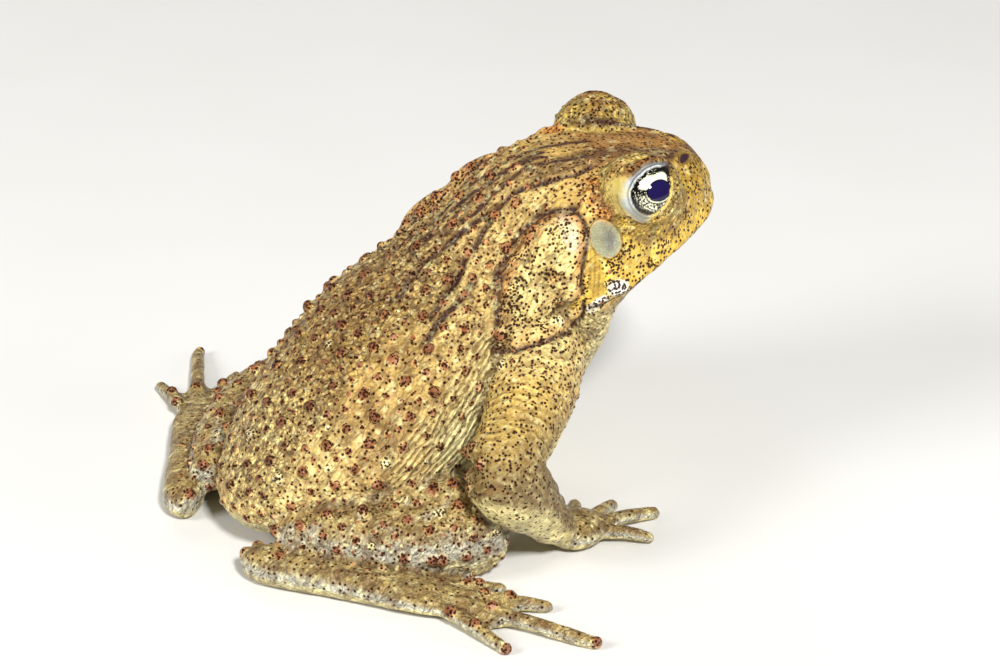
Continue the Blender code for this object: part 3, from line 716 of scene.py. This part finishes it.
def broad_paints(skin):
    """The colours of the large regions, and painted shade in the troughs of the folds on the arms and
    behind the jaw.
    """
    along, across, up, facing_up = skin.places
    broad, patchy, fine, _ = skin.noises
    arm, leg, head, body, top, dome = skin.arm, skin.leg, skin.head, skin.body, skin.top, skin.dome
    lips, gland, gland_mask = skin.lips, skin.gland, skin.gland_mask
    face = head * (1 - top) * (1 - skin.below)
    lid_top = dome * soft(up, 60, 63)
    palest = soft(segment_distance(skin.half, *FLANK_PALEST), 10, 4)
    pale_chest = soft(skin.shoulder, 19, 9) * soft(facing_up, -0.3, 0.2)
    inner_top = soft(skin.crest_across - across, 7, 1)
    lip_width = soft(lips, 3.4 + 0.08 * (along - 20), 1.8)
    return [
        (BACK_DARK_AND_SHADE, 0.5 * soft(broad, 0, 0.5)),
        (FLANK, soft(facing_up, 0.8, 0.3) * body),
        (BACK_DARK_AND_SHADE, 0.3 * skin.granular * soft(patchy, -0.6, 0.3)),
        (FLANK_PALE, 0.5 * skin.shoulders),
        (BACK_DARK_AND_SHADE, 0.25 * soft(across, 10, 3) * soft(along, 14, 8) * body),
        (FLANK_PALE, 0.95 * soft(along, -32, -44) * soft(up, 40, 24) * body),
        (ARM, arm),
        (ARM_LOW, arm * soft(up, 41, 21) * 0.92),
        # Painted shade in the troughs of the arm's cross folds.
        (BACK_DARK_AND_SHADE, 0.3 * arm * soft(skin.arm_fold, 0, -0.9)),
        (LEG, leg + skin.paw),
        (LEG_LOW, (leg + skin.paw) * soft(facing_up, 0.75, 0.1) * 0.9),
        (LEG_LOW, 0.5 * leg * soft(patchy, 0.1, 0.5)),
        (BELLY, np.maximum(skin.belly, 0.9 * skin.throat)),
        (FLANK_PALE, skin.flank * 0.85),
        (CREAM_AND_HIGHLIGHT, skin.flank * palest),
        (CREAM_AND_HIGHLIGHT, 0.5 * np.clip(arm + skin.upper_throat, 0, 1) * pale_chest),
        (HEAD_TOP, top),
        (FACE_YELLOW, face),
        (GLAND_ORANGE, 0.28 * face * soft(patchy + fine, 0.1, 0.6)),
        (CREST_DARK, 0.8 * top * soft(patchy + 0.9 * fine, -0.2, 0.4) * inner_top),
        (SNOUT, face * soft(along, 32, 38) * soft(lips, 3, 6)),
        (BACK, head * soft(along, 24, 18) * soft(up, 58, 62) * 0.8),
        (LID, lid_top),
        (BACK_DARK_AND_SHADE, 0.2 * lid_top * soft(patchy, -0.2, 0.4)),
        (GLAND_ORANGE, 0.45 * dome * soft(up, 66, 71) * soft(fine + patchy, -0.4, 0.3)),
        (GLAND_CREAM, gland_mask),
        (GLAND_ORANGE, gland_mask * soft(gland + 0.8 * patchy, 3.2, 0.4) * 0.75),
        (GLAND_ORANGE, gland_mask * soft(broad + patchy, 0.2, 0.7) * 0.45),
        (GLAND_CREAM, gland_mask * soft(skin.raised, 42, 34) * 0.5),
        (LIP_YELLOW, skin.folds),
        # Painted shade in the troughs of the folds behind the jaw.
        (MOTTLE_AND_SHADE, skin.folds * soft(skin.neck_fold, 0, 0.9) * 0.45),
        (LIP_YELLOW, skin.mouth * soft(lips, 0.2, 0.6) * lip_width * 0.75),
    ]


def small_paints(skin):
    """The colours of patches, furrows, crests, eardrums and the ring round the nostrils, and painted
    shade in the creases, along the mouth's slit and in the nostrils.
    """
    along, across, up, facing_up = skin.places
    _, patchy, fine, _ = skin.noises
    head, drum, nostril = skin.head, skin.drum, skin.nostril
    jaw = np.hypot((along - JAW_PATCH[0]) / JAW_PATCH_SIZE[0], (up - JAW_PATCH[1]) / JAW_PATCH_SIZE[1])
    skin.jaw = jaw + 0.7 * patchy + 0.4 * fine
    skin.fold_end = line_distance(along, up, FOLD_END) + 0.5 * patchy
    skin.orange = segment_distance(skin.half, *ORANGE_PATCH) * 1.6 + patchy
    tip = np.hypot(along - GLAND_TIP[0], up - GLAND_TIP[1]) + 1.2 * patchy
    drum_rear = soft(along + 0.7 * patchy + 0.4 * fine, 18.8, 21.6)
    band = line_distance(along, across, BAND) + 1.1 * patchy + 0.9 * fine
    band = soft(band, 4.4, 1.6) * soft(up, 60, 63) * (0.25 + 0.6 * skin.right)
    crest_line = bell(across - skin.crest_across + 0.3 * patchy, 0.8) * skin.crest_reach
    return [
        (WHITE_PATCH, soft(skin.jaw, 1.7, 1) * head * soft(across, 12, 16) * soft(skin.lips, -1, 0.4)),
        (WHITE_PATCH, soft(skin.fold_end, 1.4, 0.8) * soft(across, 12, 16)),
        (WHITE_PATCH, soft(tip, 3.4, 1.2) * skin.gland_mask * 0.35),
        (DRUM, soft(drum, 1.04, 0.96)),
        (DRUM_DARK, soft(drum, 1, 0.4) * drum_rear * 0.85),
        (DARK_MARK_AND_SHADE, bell(drum - 1.07, 0.06) * 0.8),
        (GLAND_ORANGE, soft(skin.orange, 5, 2.4) * head * soft(fine + patchy, -0.9, -0.1) * 0.85),
        (CREST_DARK, band * skin.body * (0.8 + 0.5 * fine)),
        (FURROW_AND_SHADE, 1.3 * skin.furrow),
        (CREST_DARK, crest_line * soft(along, 20, 25)),
        (FURROW_AND_SHADE, 1.4 * skin.gland_edge * soft(patchy, -0.9, -0.5)),
        # Painted shade in the creases.
        (FURROW_AND_SHADE, skin.crease * 0.62),
        # Painted shade along the slit of the mouth, in its groove.
        (DARK_MARK_AND_SHADE, bell(skin.lips - 0.35, 0.6) * skin.mouth * 0.95),
        (TOE_TIP, 0.6 * skin.paw * soft(facing_up, 0.2, 0.7) * soft(patchy, 0, 0.4)),
        (SNOUT, 0.8 * soft(nostril, 2.4, 1.6)),
        # Painted shade round the nostril and in its pit.
        (MOTTLE_AND_SHADE, 0.35 * soft(nostril, 2, 1.2)),
        (NOSTRIL_SHADE, soft(nostril, 1.12, 0.8)),
    ]


def wart_paints(skin):
    """The crowns of the warts: orange high on the back, red-brown lower down, a few cream."""
    fine = skin.noises[2]
    skin.crown = soft(skin.wart + 0.25 * fine, 0.05, 0.75)
    heart = soft(skin.wart + 0.35 * fine, 0.3, 0.95)
    cream = soft(skin.tint, 0.09, 0.08) * (1 - skin.high)
    return [
        (CREAM_AND_HIGHLIGHT, 0.4 * soft(skin.wart, 0, 0.12) * (1 - skin.crown)),
        (WART_ORANGE, 0.8 * skin.crown * (1 - cream)),
        (WART_RED, heart * (1 - 0.5 * skin.high) * (1 - cream) * 0.8),
        (WART_PALE, skin.crown * cream),
    ]


def lid_paints(skin):
    """The lids: pale behind the eye, bluish below, grey under the orange fold of the brow."""
    outside, bearing = skin.outside, skin.bearing
    from_rear = 180 - np.abs(bearing)
    skin.rear = soft(from_rear, 46, 18)
    skin.low = soft(bearing, -92, -112)
    skin.upper = soft(bearing, 38, 52)
    skin.brow = brow_share(outside, bearing)
    above = skin.upper * soft(bearing, 176, 160)
    return [
        (LID_PALE, skin.rear * soft(outside, 58 - 0.5 * from_rear, 12) * skin.dome * 0.8),
        (LID_BLUE, skin.low * soft(bearing, -178, -165) * soft(outside, 19, 12) * 0.85),
        (LID_GREY, above * soft(outside, 15, 9)),
        (LID_WHITE, np.maximum(soft(bearing, 50, 62), skin.rear) * bell(outside - 0.9, 1) * 0.7),
        (LID_WHITE, skin.rear * bell(outside - 8, 5) * 0.3),
        (LID_GREY, skin.rear * bell(outside - 4, 2) * 0.7),
        (DARK_MARK_AND_SHADE, above * bell(outside - 4.4, 1.4) * 0.75),
        (LID_ORANGE, skin.brow * 0.9),
        (DARK_MARK_AND_SHADE, bell(bearing - 45, 9) * soft(outside, 12, 5) * 0.85),
        (DARK_MARK_AND_SHADE, skin.low * bell(outside - 19, 2) * 0.5),
        (DARK_MARK_AND_SHADE, soft(outside, 1, -0.5) * soft(outside, 40, 30)),
    ]


def store_masks(skin):
    """Stores what the material reads: where the skin has dots, grain, specks and fine folds."""
    patchy, facing_up = skin.noises[1], skin.places[3]
    lid_reach = 2 + 11 * np.maximum(skin.rear, skin.low) + 6 * skin.upper
    bare = soft(skin.outside, lid_reach + 5 + 26 * skin.rear, lid_reach) * (1 - skin.brow)
    bare = np.maximum(bare, np.maximum(soft(skin.drum, 1.1, 1), soft(skin.nostril, 1.3, 1)))
    covered = (1 - bare) * (1 - skin.folds)
    cheek = skin.head * (1 - skin.top) * (1 - skin.dome) * (1 - skin.below)
    lip_band = skin.mouth * soft(skin.lips, 0, 0.5) * soft(skin.lips, 3.6, 2.4)
    few = np.clip(1 - bare - 0.85 * skin.belly - 0.45 * skin.flank - skin.folds, 0, 1)
    close = 1.9 * skin.wart + skin.gland_mask * (0.3 + 0.6 * soft(patchy, 0, 0.35))
    close += soft(skin.jaw, 2, 1.5) * skin.head + soft(skin.fold_end, 1.6, 1.2)
    close += 0.9 * cheek * soft(patchy, 0, 0.35) + 0.55 * soft(skin.orange, 5, 2.4) * skin.head
    close += 0.8 * skin.brow + 0.6 * skin.mouth * bell(skin.lips - 0.4, 0.5)
    close += 0.7 * lip_band * soft(patchy, -0.1, 0.3)
    grain = 1 - bare - 0.3 * lip_band - 0.5 * skin.top - 0.4 * cheek - 0.4 * skin.arm
    granular = skin.granular + 0.3 * (skin.body - cheek) + 0.4 * skin.dome + 0.4 * skin.limb
    specks = skin.arm + 0.5 * skin.leg * soft(facing_up, -0.3, 0.2) + 0.55 * skin.shoulders
    specks += skin.gland_mask + 0.4 * skin.dome + cheek + 0.6 * skin.top
    for name, values in (
        ("wart", skin.wart),
        ("dots", few * soft(skin.nostril, 1.3, 1.8)),
        ("dense", np.clip(close * covered, 0, 1)),
        ("grain", np.clip(grain, 0, 1)),
        ("granular", np.clip(granular - 0.5 * skin.crown, 0, 1)),
        ("speckle", np.clip(specks, 0, 1) * covered),
        ("phase", skin.phase),
        ("folding", skin.folding * (1 - bare)),
    ):
        skin.store(name, values)


def skin_detail(skin, bumps):
    """Shapes the fine forms of the skin and stores the masks and colours for its material."""
    skin.outside, skin.bearing = shape_eyelids(skin)
    # Places and slopes from before the fine forms, which the masks are made of.
    skin.places = skin.along, skin.across, skin.up, skin.normals[:, 2]
    broad, patchy, fine, wander = (
        smooth_noise(skin.points, size, seed) for size, seed in ((9, 1), (3.2, 2), (1.1, 3), (5, 4))
    )
    skin.noises = broad, patchy, fine, 0.9 * wander + 0.35 * patchy
    skin.arm, skin.leg, skin.paw = (skin.stored(name) for name in LIMBS)
    skin.limb = np.clip(skin.arm + skin.leg + skin.paw, 0, 1)
    skin.body = 1 - skin.limb
    find_head(skin)
    find_body(skin)
    find_furrows(skin)
    rise = place_warts(skin, bumps)
    find_folds(skin)
    move = (rise + relief(skin)) * soft(skin.outside, 0, 16)
    skin.points += skin.normals * move[:, None]
    skin.points[:, 2] = np.maximum(skin.points[:, 2], LOWEST)
    skin.write()

    # Colours and painted shade, laid over each other from the broad ones to the small ones.
    colour = np.tile(BACK, (len(skin.points), 1))
    paints = broad_paints(skin) + small_paints(skin)
    for paint, share in paints + wart_paints(skin) + lid_paints(skin):
        colour = paint_over(colour, paint, share)
    store_colours(skin.mesh, "tone", colour)
    store_masks(skin)


class Nodes:
    """A short way to write a material's nodes."""

    def __init__(self, name):
        self.material = bpy.data.materials.new(name)
        self.material.use_nodes = True
        self.tree = self.material.node_tree
        self.shader = self.tree.nodes["Principled BSDF"]

    def add(self, kind, inputs=(), **settings):
        node = self.tree.nodes.new(kind)
        for key, value in settings.items():
            setattr(node, key, value)
        for key, value in dict(inputs).items():
            self.put(node.inputs[key], value)
        return node

    def put(self, socket, value):
        if isinstance(value, bpy.types.NodeSocket):
            self.tree.links.new(value, socket)
        else:
            socket.default_value = value

    def set(self, **values):
        for key, value in values.items():
            self.put(self.shader.inputs[key.replace("_", " ")], value)

    def attribute(self, name, colour=False):
        node = self.add("ShaderNodeAttribute", attribute_name=name)
        return node.outputs["Color" if colour else "Fac"]

    def times(self, first, *others):
        for other in others:
            first = self.math("MULTIPLY", first, other)
        return first

    def math(self, operation, first, second=0.0, third=0.0):
        node = self.add("ShaderNodeMath", operation=operation)
        for socket, value in zip(node.inputs, (first, second, third)):
            self.put(socket, value)
        return node.outputs[0]

    def step(self, value, low, high):
        """0 below low, 1 above high, smooth between; low may be the larger."""
        ends = {"From Min": low, "From Max": high}
        if low > high:
            ends = {"From Min": high, "From Max": low, "To Min": 1.0, "To Max": 0.0}
        node = self.add("ShaderNodeMapRange", {"Value": value, **ends}, interpolation_type="SMOOTHSTEP")
        return node.outputs[0]

    def mix(self, share, first, second):
        node = self.add("ShaderNodeMix", data_type="RGBA")
        for number, value in zip((0, 6, 7), (share, first, second)):
            self.put(node.inputs[number], (*value, 1) if isinstance(value, np.ndarray) else value)
        return node.outputs[2]

    def place(self):
        return self.add("ShaderNodeTexCoord").outputs["Object"]

    def shifted(self, where, shift):
        return self.add("ShaderNodeVectorMath", {0: where, 1: shift}, operation="ADD").outputs[0]

    def noise_at(self, where, size, detail, rough=0.5):
        return self.add("ShaderNodeTexNoise", {
            "Vector": where, "Scale": 1 / (size * UNIT), "Detail": detail, "Roughness": rough,
        }).outputs

    def noise(self, size, detail=3, seed=0.0, rough=0.5):
        """Noise whose features have the given size in units."""
        return self.noise_at(self.shifted(self.place(), (seed, seed, seed)), size, detail, rough)[0]

    def stretched(self, size, stretch, tilt, seed=0.0):
        """Noise that is drawn out along the body, which rises toward the head."""
        where = self.add("ShaderNodeMapping", {
            "Vector": self.place(), "Location": (seed, seed, seed), "Rotation": (0, tilt, 0),
            "Scale": (stretch, 1, 1),
        }, vector_type="TEXTURE")
        return self.noise_at(where.outputs[0], size, 3, 0.55)[0]

    def cells(self, size, feature="F1", bend=0.0, seed=0.0):
        """Distance to the nearest of many scattered points, as a share of their spacing."""
        where = self.place()
        if bend:
            sway = self.noise_at(where, 0.9, 1)["Color"]
            sway = self.add("ShaderNodeVectorMath", {0: sway, "Scale": bend * UNIT}, operation="SCALE")
            where = self.shifted(where, sway.outputs[0])
        node = self.add("ShaderNodeTexVoronoi", {
            "Vector": self.shifted(where, (seed, seed, seed)), "Scale": 1 / (size * UNIT),
        }, feature=feature)
        return node.outputs["Distance"]


def skin_material():
    made = Nodes("toad_skin")
    step, times, cells = made.step, made.times, made.cells
    tone = made.attribute("tone", colour=True)
    names = "wart dots dense grain granular speckle phase folding"
    wart, dots, dense, grain, granular, speckle, phase, folding = map(made.attribute, names.split())

    # Pebbly grain, wrinkles drawn out along the body, and fine parallel folds.
    pebble = step(cells(PEBBLE, feature="SMOOTH_F1", seed=0.31), 0.62, 0.12)
    knob = step(cells(KNOB, feature="SMOOTH_F1", bend=0.6, seed=0.77), 0.66, 0.2)
    wrinkle = made.math("SUBTRACT", made.stretched(RIPPLE, 3.2, -0.75, 0.4), 0.5)
    ripple = step(made.math("ABSOLUTE", wrinkle), 0, 0.06)
    net = step(cells(NET, feature="DISTANCE_TO_EDGE", bend=0.3, seed=0.53), 0, 0.09)
    wobble = made.math("MULTIPLY", made.noise(1.8, 3, 0.7), 4.5)
    swing = made.math("SINE", made.math("MULTIPLY_ADD", phase, 2 * math.pi / FINEST_FOLD, wobble))
    fold = made.math("MULTIPLY_ADD", swing, 0.5, 0.5)

    # Mottling in three sizes, painted shade in the hollows of the grain and folds, and a painted
    # highlight on the folds' crests.
    bare_wart = step(wart, 0.3, 0)
    for paint, *shares in (
        (MOTTLE_AND_SHADE, step(made.noise(3.5, 4, 0.11), 0.46, 0.62), grain, bare_wart, 0.38),
        (MOTTLE_AND_SHADE, step(made.noise(0.8, 3, 0.23), 0.52, 0.66), grain, 0.28),
        (CREAM_AND_HIGHLIGHT, step(made.noise(1.8, 3, 0.37), 0.52, 0.68), grain, bare_wart, 0.55),
        # Painted shade between the pebbles and the knobs, along the wrinkles and along the net's edges.
        (FURROW_AND_SHADE, step(pebble, 0.45, 0), grain, granular, 0.55),
        (MOTTLE_AND_SHADE, step(knob, 0.4, 0), grain, bare_wart, 0.5),
        (FURROW_AND_SHADE, step(ripple, 0.5, 0), grain, bare_wart, 0.26),
        (FURROW_AND_SHADE, step(net, 0.8, 0), grain, granular, 0.45),
        # Painted shade in the troughs of the fine folds, and a painted highlight on their crests.
        (MOTTLE_AND_SHADE, step(fold, 0.3, 0), folding, 0.75),
        (CREAM_AND_HIGHLIGHT, step(fold, 0.6, 0.95), folding, 0.3),
    ):
        tone = made.mix(times(*shares), tone, paint)

    # Dark horny dots with brown rims: single ones all over, and close clusters on the warts.
    single = cells(SINGLE_DOTS, seed=0.07)
    small = cells(SMALL_DOTS, seed=0.13)
    single_rim = times(step(single, 0.42, 0.24), dots)
    rims = made.math("MAXIMUM", single_rim, times(step(small, 0.42, 0.24), speckle))
    single = times(step(single, 0.24, 0.18), dots)
    small = times(step(small, 0.30, 0.22), speckle)
    close = times(step(cells(CLOSE_DOTS, bend=0.3, seed=0.19), 0.48, 0.38), step(dense, 0.3, 0.7))
    spots = made.math("MAXIMUM", made.math("MAXIMUM", single, small), close)
    tone = made.mix(times(rims, 0.4), tone, RIM)
    tone = made.mix(times(spots, 0.95), tone, DOT)

    height = times(pebble, grain, made.math("MULTIPLY_ADD", granular, 0.7, 0.25))
    for layer, share in (
        (times(knob, grain), 1.1),
        (times(ripple, grain), 0.7),
        (times(net, grain, granular), 0.7),
        (times(fold, folding), 1.3),
        (made.noise(0.5, 3, 0.43, 0.6), 0.5),
        (spots, 0.5),
    ):
        height = made.math("MULTIPLY_ADD", layer, share, height)
    bump = made.add("ShaderNodeBump", {"Height": height, "Distance": BUMP_HEIGHT * UNIT, "Strength": 1.0})
    gloss = made.math("MULTIPLY_ADD", made.noise(1.3, 3, 0.61), 0.24, 0.26)
    shine = made.math("MULTIPLY_ADD", spots, -0.5, 0.65)
    made.set(Base_Color=tone, Roughness=gloss, Normal=bump.outputs[0], Specular_IOR_Level=shine)
    return made.material


def toad_skin(solid_box):
    obj, bumps = base_skin()
    modified(obj, "SUBSURF", levels=1)
    surface = Surface(obj.data)
    skin_detail(surface, bumps)
    # The skin keeps within the solids' box.
    low, high = np.array(solid_box) / UNIT - ORIGIN_SHIFT
    surface.points = np.clip(surface.points, low + 0.01, high - 0.01)
    surface.write()
    obj.data.shade_smooth()
    obj.data.materials.append(skin_material())
    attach(obj, "root")
    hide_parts(*FLESH)


PUPIL_MIDDLE, PUPIL_SIZE = (0.10, -0.015), (0.37, 0.29)  # as shares of the eyeball's radius
PUPIL_TILT = math.radians(17)
IRIS_BLACK = rgb(10, 7, 8)
IRIS_CREAM = rgb(244, 242, 208)
IRIS_GOLD = rgb(150, 128, 66)
PUPIL = rgb(24, 16, 62)
# The cream patch above the pupil: its outer edge, going round from straight ahead.
PATCH_ROUND = (26, 36, 50, 68, 89, 119, 146, 166, 178)
PATCH_REACH = (0.42, 0.50, 0.62, 0.52, 0.41, 0.44, 0.50, 0.50, 0.44)
# The eyeball's mesh, and its cornea: how far it bulges, as a share, and how wide, in radians.
RINGS, SPOKES = 120, 180
CORNEA_BULGE, CORNEA_WIDTH = 0.035, 0.55


def iris_colours(ahead, up, coarse, fine):
    """The eye's paint, from places across it as shares of its radius."""
    cosine, sine = math.cos(PUPIL_TILT), math.sin(PUPIL_TILT)
    level, rise = ahead - PUPIL_MIDDLE[0], up - PUPIL_MIDDLE[1]
    pupil = np.hypot(
        (level * cosine + rise * sine) / PUPIL_SIZE[0], (rise * cosine - level * sine) / PUPIL_SIZE[1]
    )
    reach = np.hypot(ahead, up)
    around = np.degrees(np.arctan2(up, ahead))
    patch_edge = np.interp(around, PATCH_ROUND, PATCH_REACH) + 0.07 * fine + 0.05 * coarse
    patch = soft(reach, patch_edge + 0.02, patch_edge - 0.02)
    patch *= soft(around + 10 * coarse, 18, 28) * soft(around + 8 * coarse, 178, 168)
    lower = soft(around, -176, -150) * soft(around, -20, -32)
    flecks = soft(coarse + 0.5 * fine, 0.08, 0.2) * soft(reach, 0.66 - 0.1 * fine, 0.56) * lower
    specks = soft(fine, 0.36, 0.46) * soft(reach, 0.68, 0.6)
    colour = np.tile(IRIS_BLACK, (len(ahead), 1))
    for paint, share in (
        (IRIS_CREAM, specks * 0.8),
        (IRIS_GOLD, soft(fine, 0.1, 0.3) * soft(reach, 0.62, 0.70) * soft(up, -0.45, -0.6) * 0.6),
        (IRIS_CREAM, flecks * soft(pupil, 1.22, 1.4) * (1 - 0.5 * soft(reach, 0.45, 0.7))),
        (IRIS_CREAM, patch),
        (IRIS_CREAM, bell(pupil - 1.13, 0.045) * soft(around, -20, -40) * soft(around, -165, -130)),
        (IRIS_BLACK, soft(pupil, 1.07, 1.02)),
        (PUPIL, soft(pupil, 1, 0.93)),
    ):
        colour = paint_over(colour, paint, share)
    return colour


def eyeball(side):
    """A glossy ball with a bulging cornea and the toad's dark, cream-flecked iris."""
    centre = on_side(EYE, side)
    gaze, front, up = gaze_axes(side)
    bm = bmesh.new()
    loops, places = [], []
    for ring in range(RINGS + 1):
        angle = math.pi * (ring / RINGS) ** 1.5
        bulge = 1 + CORNEA_BULGE * math.exp(-((angle / CORNEA_WIDTH) ** 2))
        loops.append([])
        for spoke in range(1 if ring in (0, RINGS) else SPOKES):
            around = 2 * math.pi * spoke / SPOKES
            ahead, rise = math.sin(angle) * math.cos(around), math.sin(angle) * math.sin(around)
            offset = (front * ahead + up * rise + gaze * math.cos(angle)) * EYE_RADIUS * bulge
            loops[-1].append(bm.verts.new(frame_place(centre + offset)))
            places.append((ahead, rise, angle))
    for inner, outer in zip(loops, loops[1:]):
        for spoke in range(SPOKES):
            after = (spoke + 1) % SPOKES
            if len(inner) == 1:
                bm.faces.new((inner[0], outer[spoke], outer[after]))
            elif len(outer) == 1:
                bm.faces.new((inner[after], inner[spoke], outer[0]))
            else:
                bm.faces.new((inner[spoke], outer[spoke], outer[after], inner[after]))
    bmesh.ops.recalc_face_normals(bm, faces=bm.faces)
    name = "eyeball_left" if side > 0 else "eyeball_right"
    mesh = finished_mesh(bm, name)
    obj = new_object(name, mesh)
    places = np.array(places)
    coarse = smooth_noise(places, 0.06, side)
    fine = smooth_noise(places, 0.028, side + 4)
    colours = iris_colours(places[:, 0], places[:, 1], coarse, fine)
    colours[places[:, 2] > 1.2] = IRIS_BLACK
    store_colours(mesh, "paint", colours)
    mesh.shade_smooth()
    mesh.materials.append(eye_material())
    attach(obj, "root")
    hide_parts("eye_left" if side > 0 else "eye_right")


def eye_material():
    found = bpy.data.materials.get("toad_eye")
    if found:
        return found
    made = Nodes("toad_eye")
    paint = made.attribute("paint", colour=True)
    made.set(Base_Color=paint, Roughness=0.06, Specular_IOR_Level=0.45)
    return made.material


def studio():
    """A plain pale floor, soft light from large lamps, and the photograph's camera."""
    scene = bpy.context.scene
    scene.view_settings.view_transform = "Standard"
    bm = bmesh.new()
    bmesh.ops.create_circle(bm, cap_ends=True, segments=96, radius=FLOOR_RADIUS)
    floor = new_object("floor", finished_mesh(bm, "floor"))
    made = Nodes("floor")
    made.set(Base_Color=made.mix(made.noise(60, 2), FLOOR_DARK, FLOOR_PALE), Roughness=0.8)
    floor.data.materials.append(made.material)

    world = bpy.data.worlds.new("studio")
    world.use_nodes = True
    sky = world.node_tree.nodes["Background"].inputs
    sky["Color"].default_value = SKY
    sky["Strength"].default_value = SKY_STRENGTH
    scene.world = world
    for settings in LAMPS:
        lamp(*settings)

    camera = new_object("camera", bpy.data.cameras.new("camera"))
    camera.data.lens = CAMERA_LENS
    camera.data.sensor_width = 36
    camera.data.clip_start = 0.01
    azimuth, elevation = math.radians(CAMERA_AZIMUTH), math.radians(CAMERA_ELEVATION)
    back = Vector((
        math.sin(azimuth) * math.cos(elevation),
        -math.cos(azimuth) * math.cos(elevation),
        math.sin(elevation),
    ))
    camera.location = Vector(CAMERA_TARGET) + back * CAMERA_DISTANCE
    camera.rotation_euler = (-back).to_track_quat("-Z", "Y").to_euler()
    scene.camera = camera


def lamp(name, place, size, power):
    """A square lamp that faces the toad. Only the key lamp is mirrored in glossy things."""
    light = bpy.data.lights.new(name, "AREA")
    light.size = size
    light.energy = power
    obj = new_object(name, light)
    obj.location = place
    obj.visible_glossy = name == "key"
    aim = Vector(LAMP_TARGET) - Vector(place)
    obj.rotation_euler = aim.to_track_quat("-Z", "Y").to_euler()


def main():
    solid_box = [list(corner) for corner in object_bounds()]
    toad_skin(solid_box)
    for side in (1, -1):
        eyeball(side)
    studio()


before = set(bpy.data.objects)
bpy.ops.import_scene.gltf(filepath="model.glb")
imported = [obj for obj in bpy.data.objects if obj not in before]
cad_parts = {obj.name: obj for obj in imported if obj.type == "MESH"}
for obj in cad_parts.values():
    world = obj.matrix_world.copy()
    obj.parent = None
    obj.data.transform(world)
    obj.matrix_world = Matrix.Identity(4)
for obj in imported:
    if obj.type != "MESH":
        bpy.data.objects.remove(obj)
main()
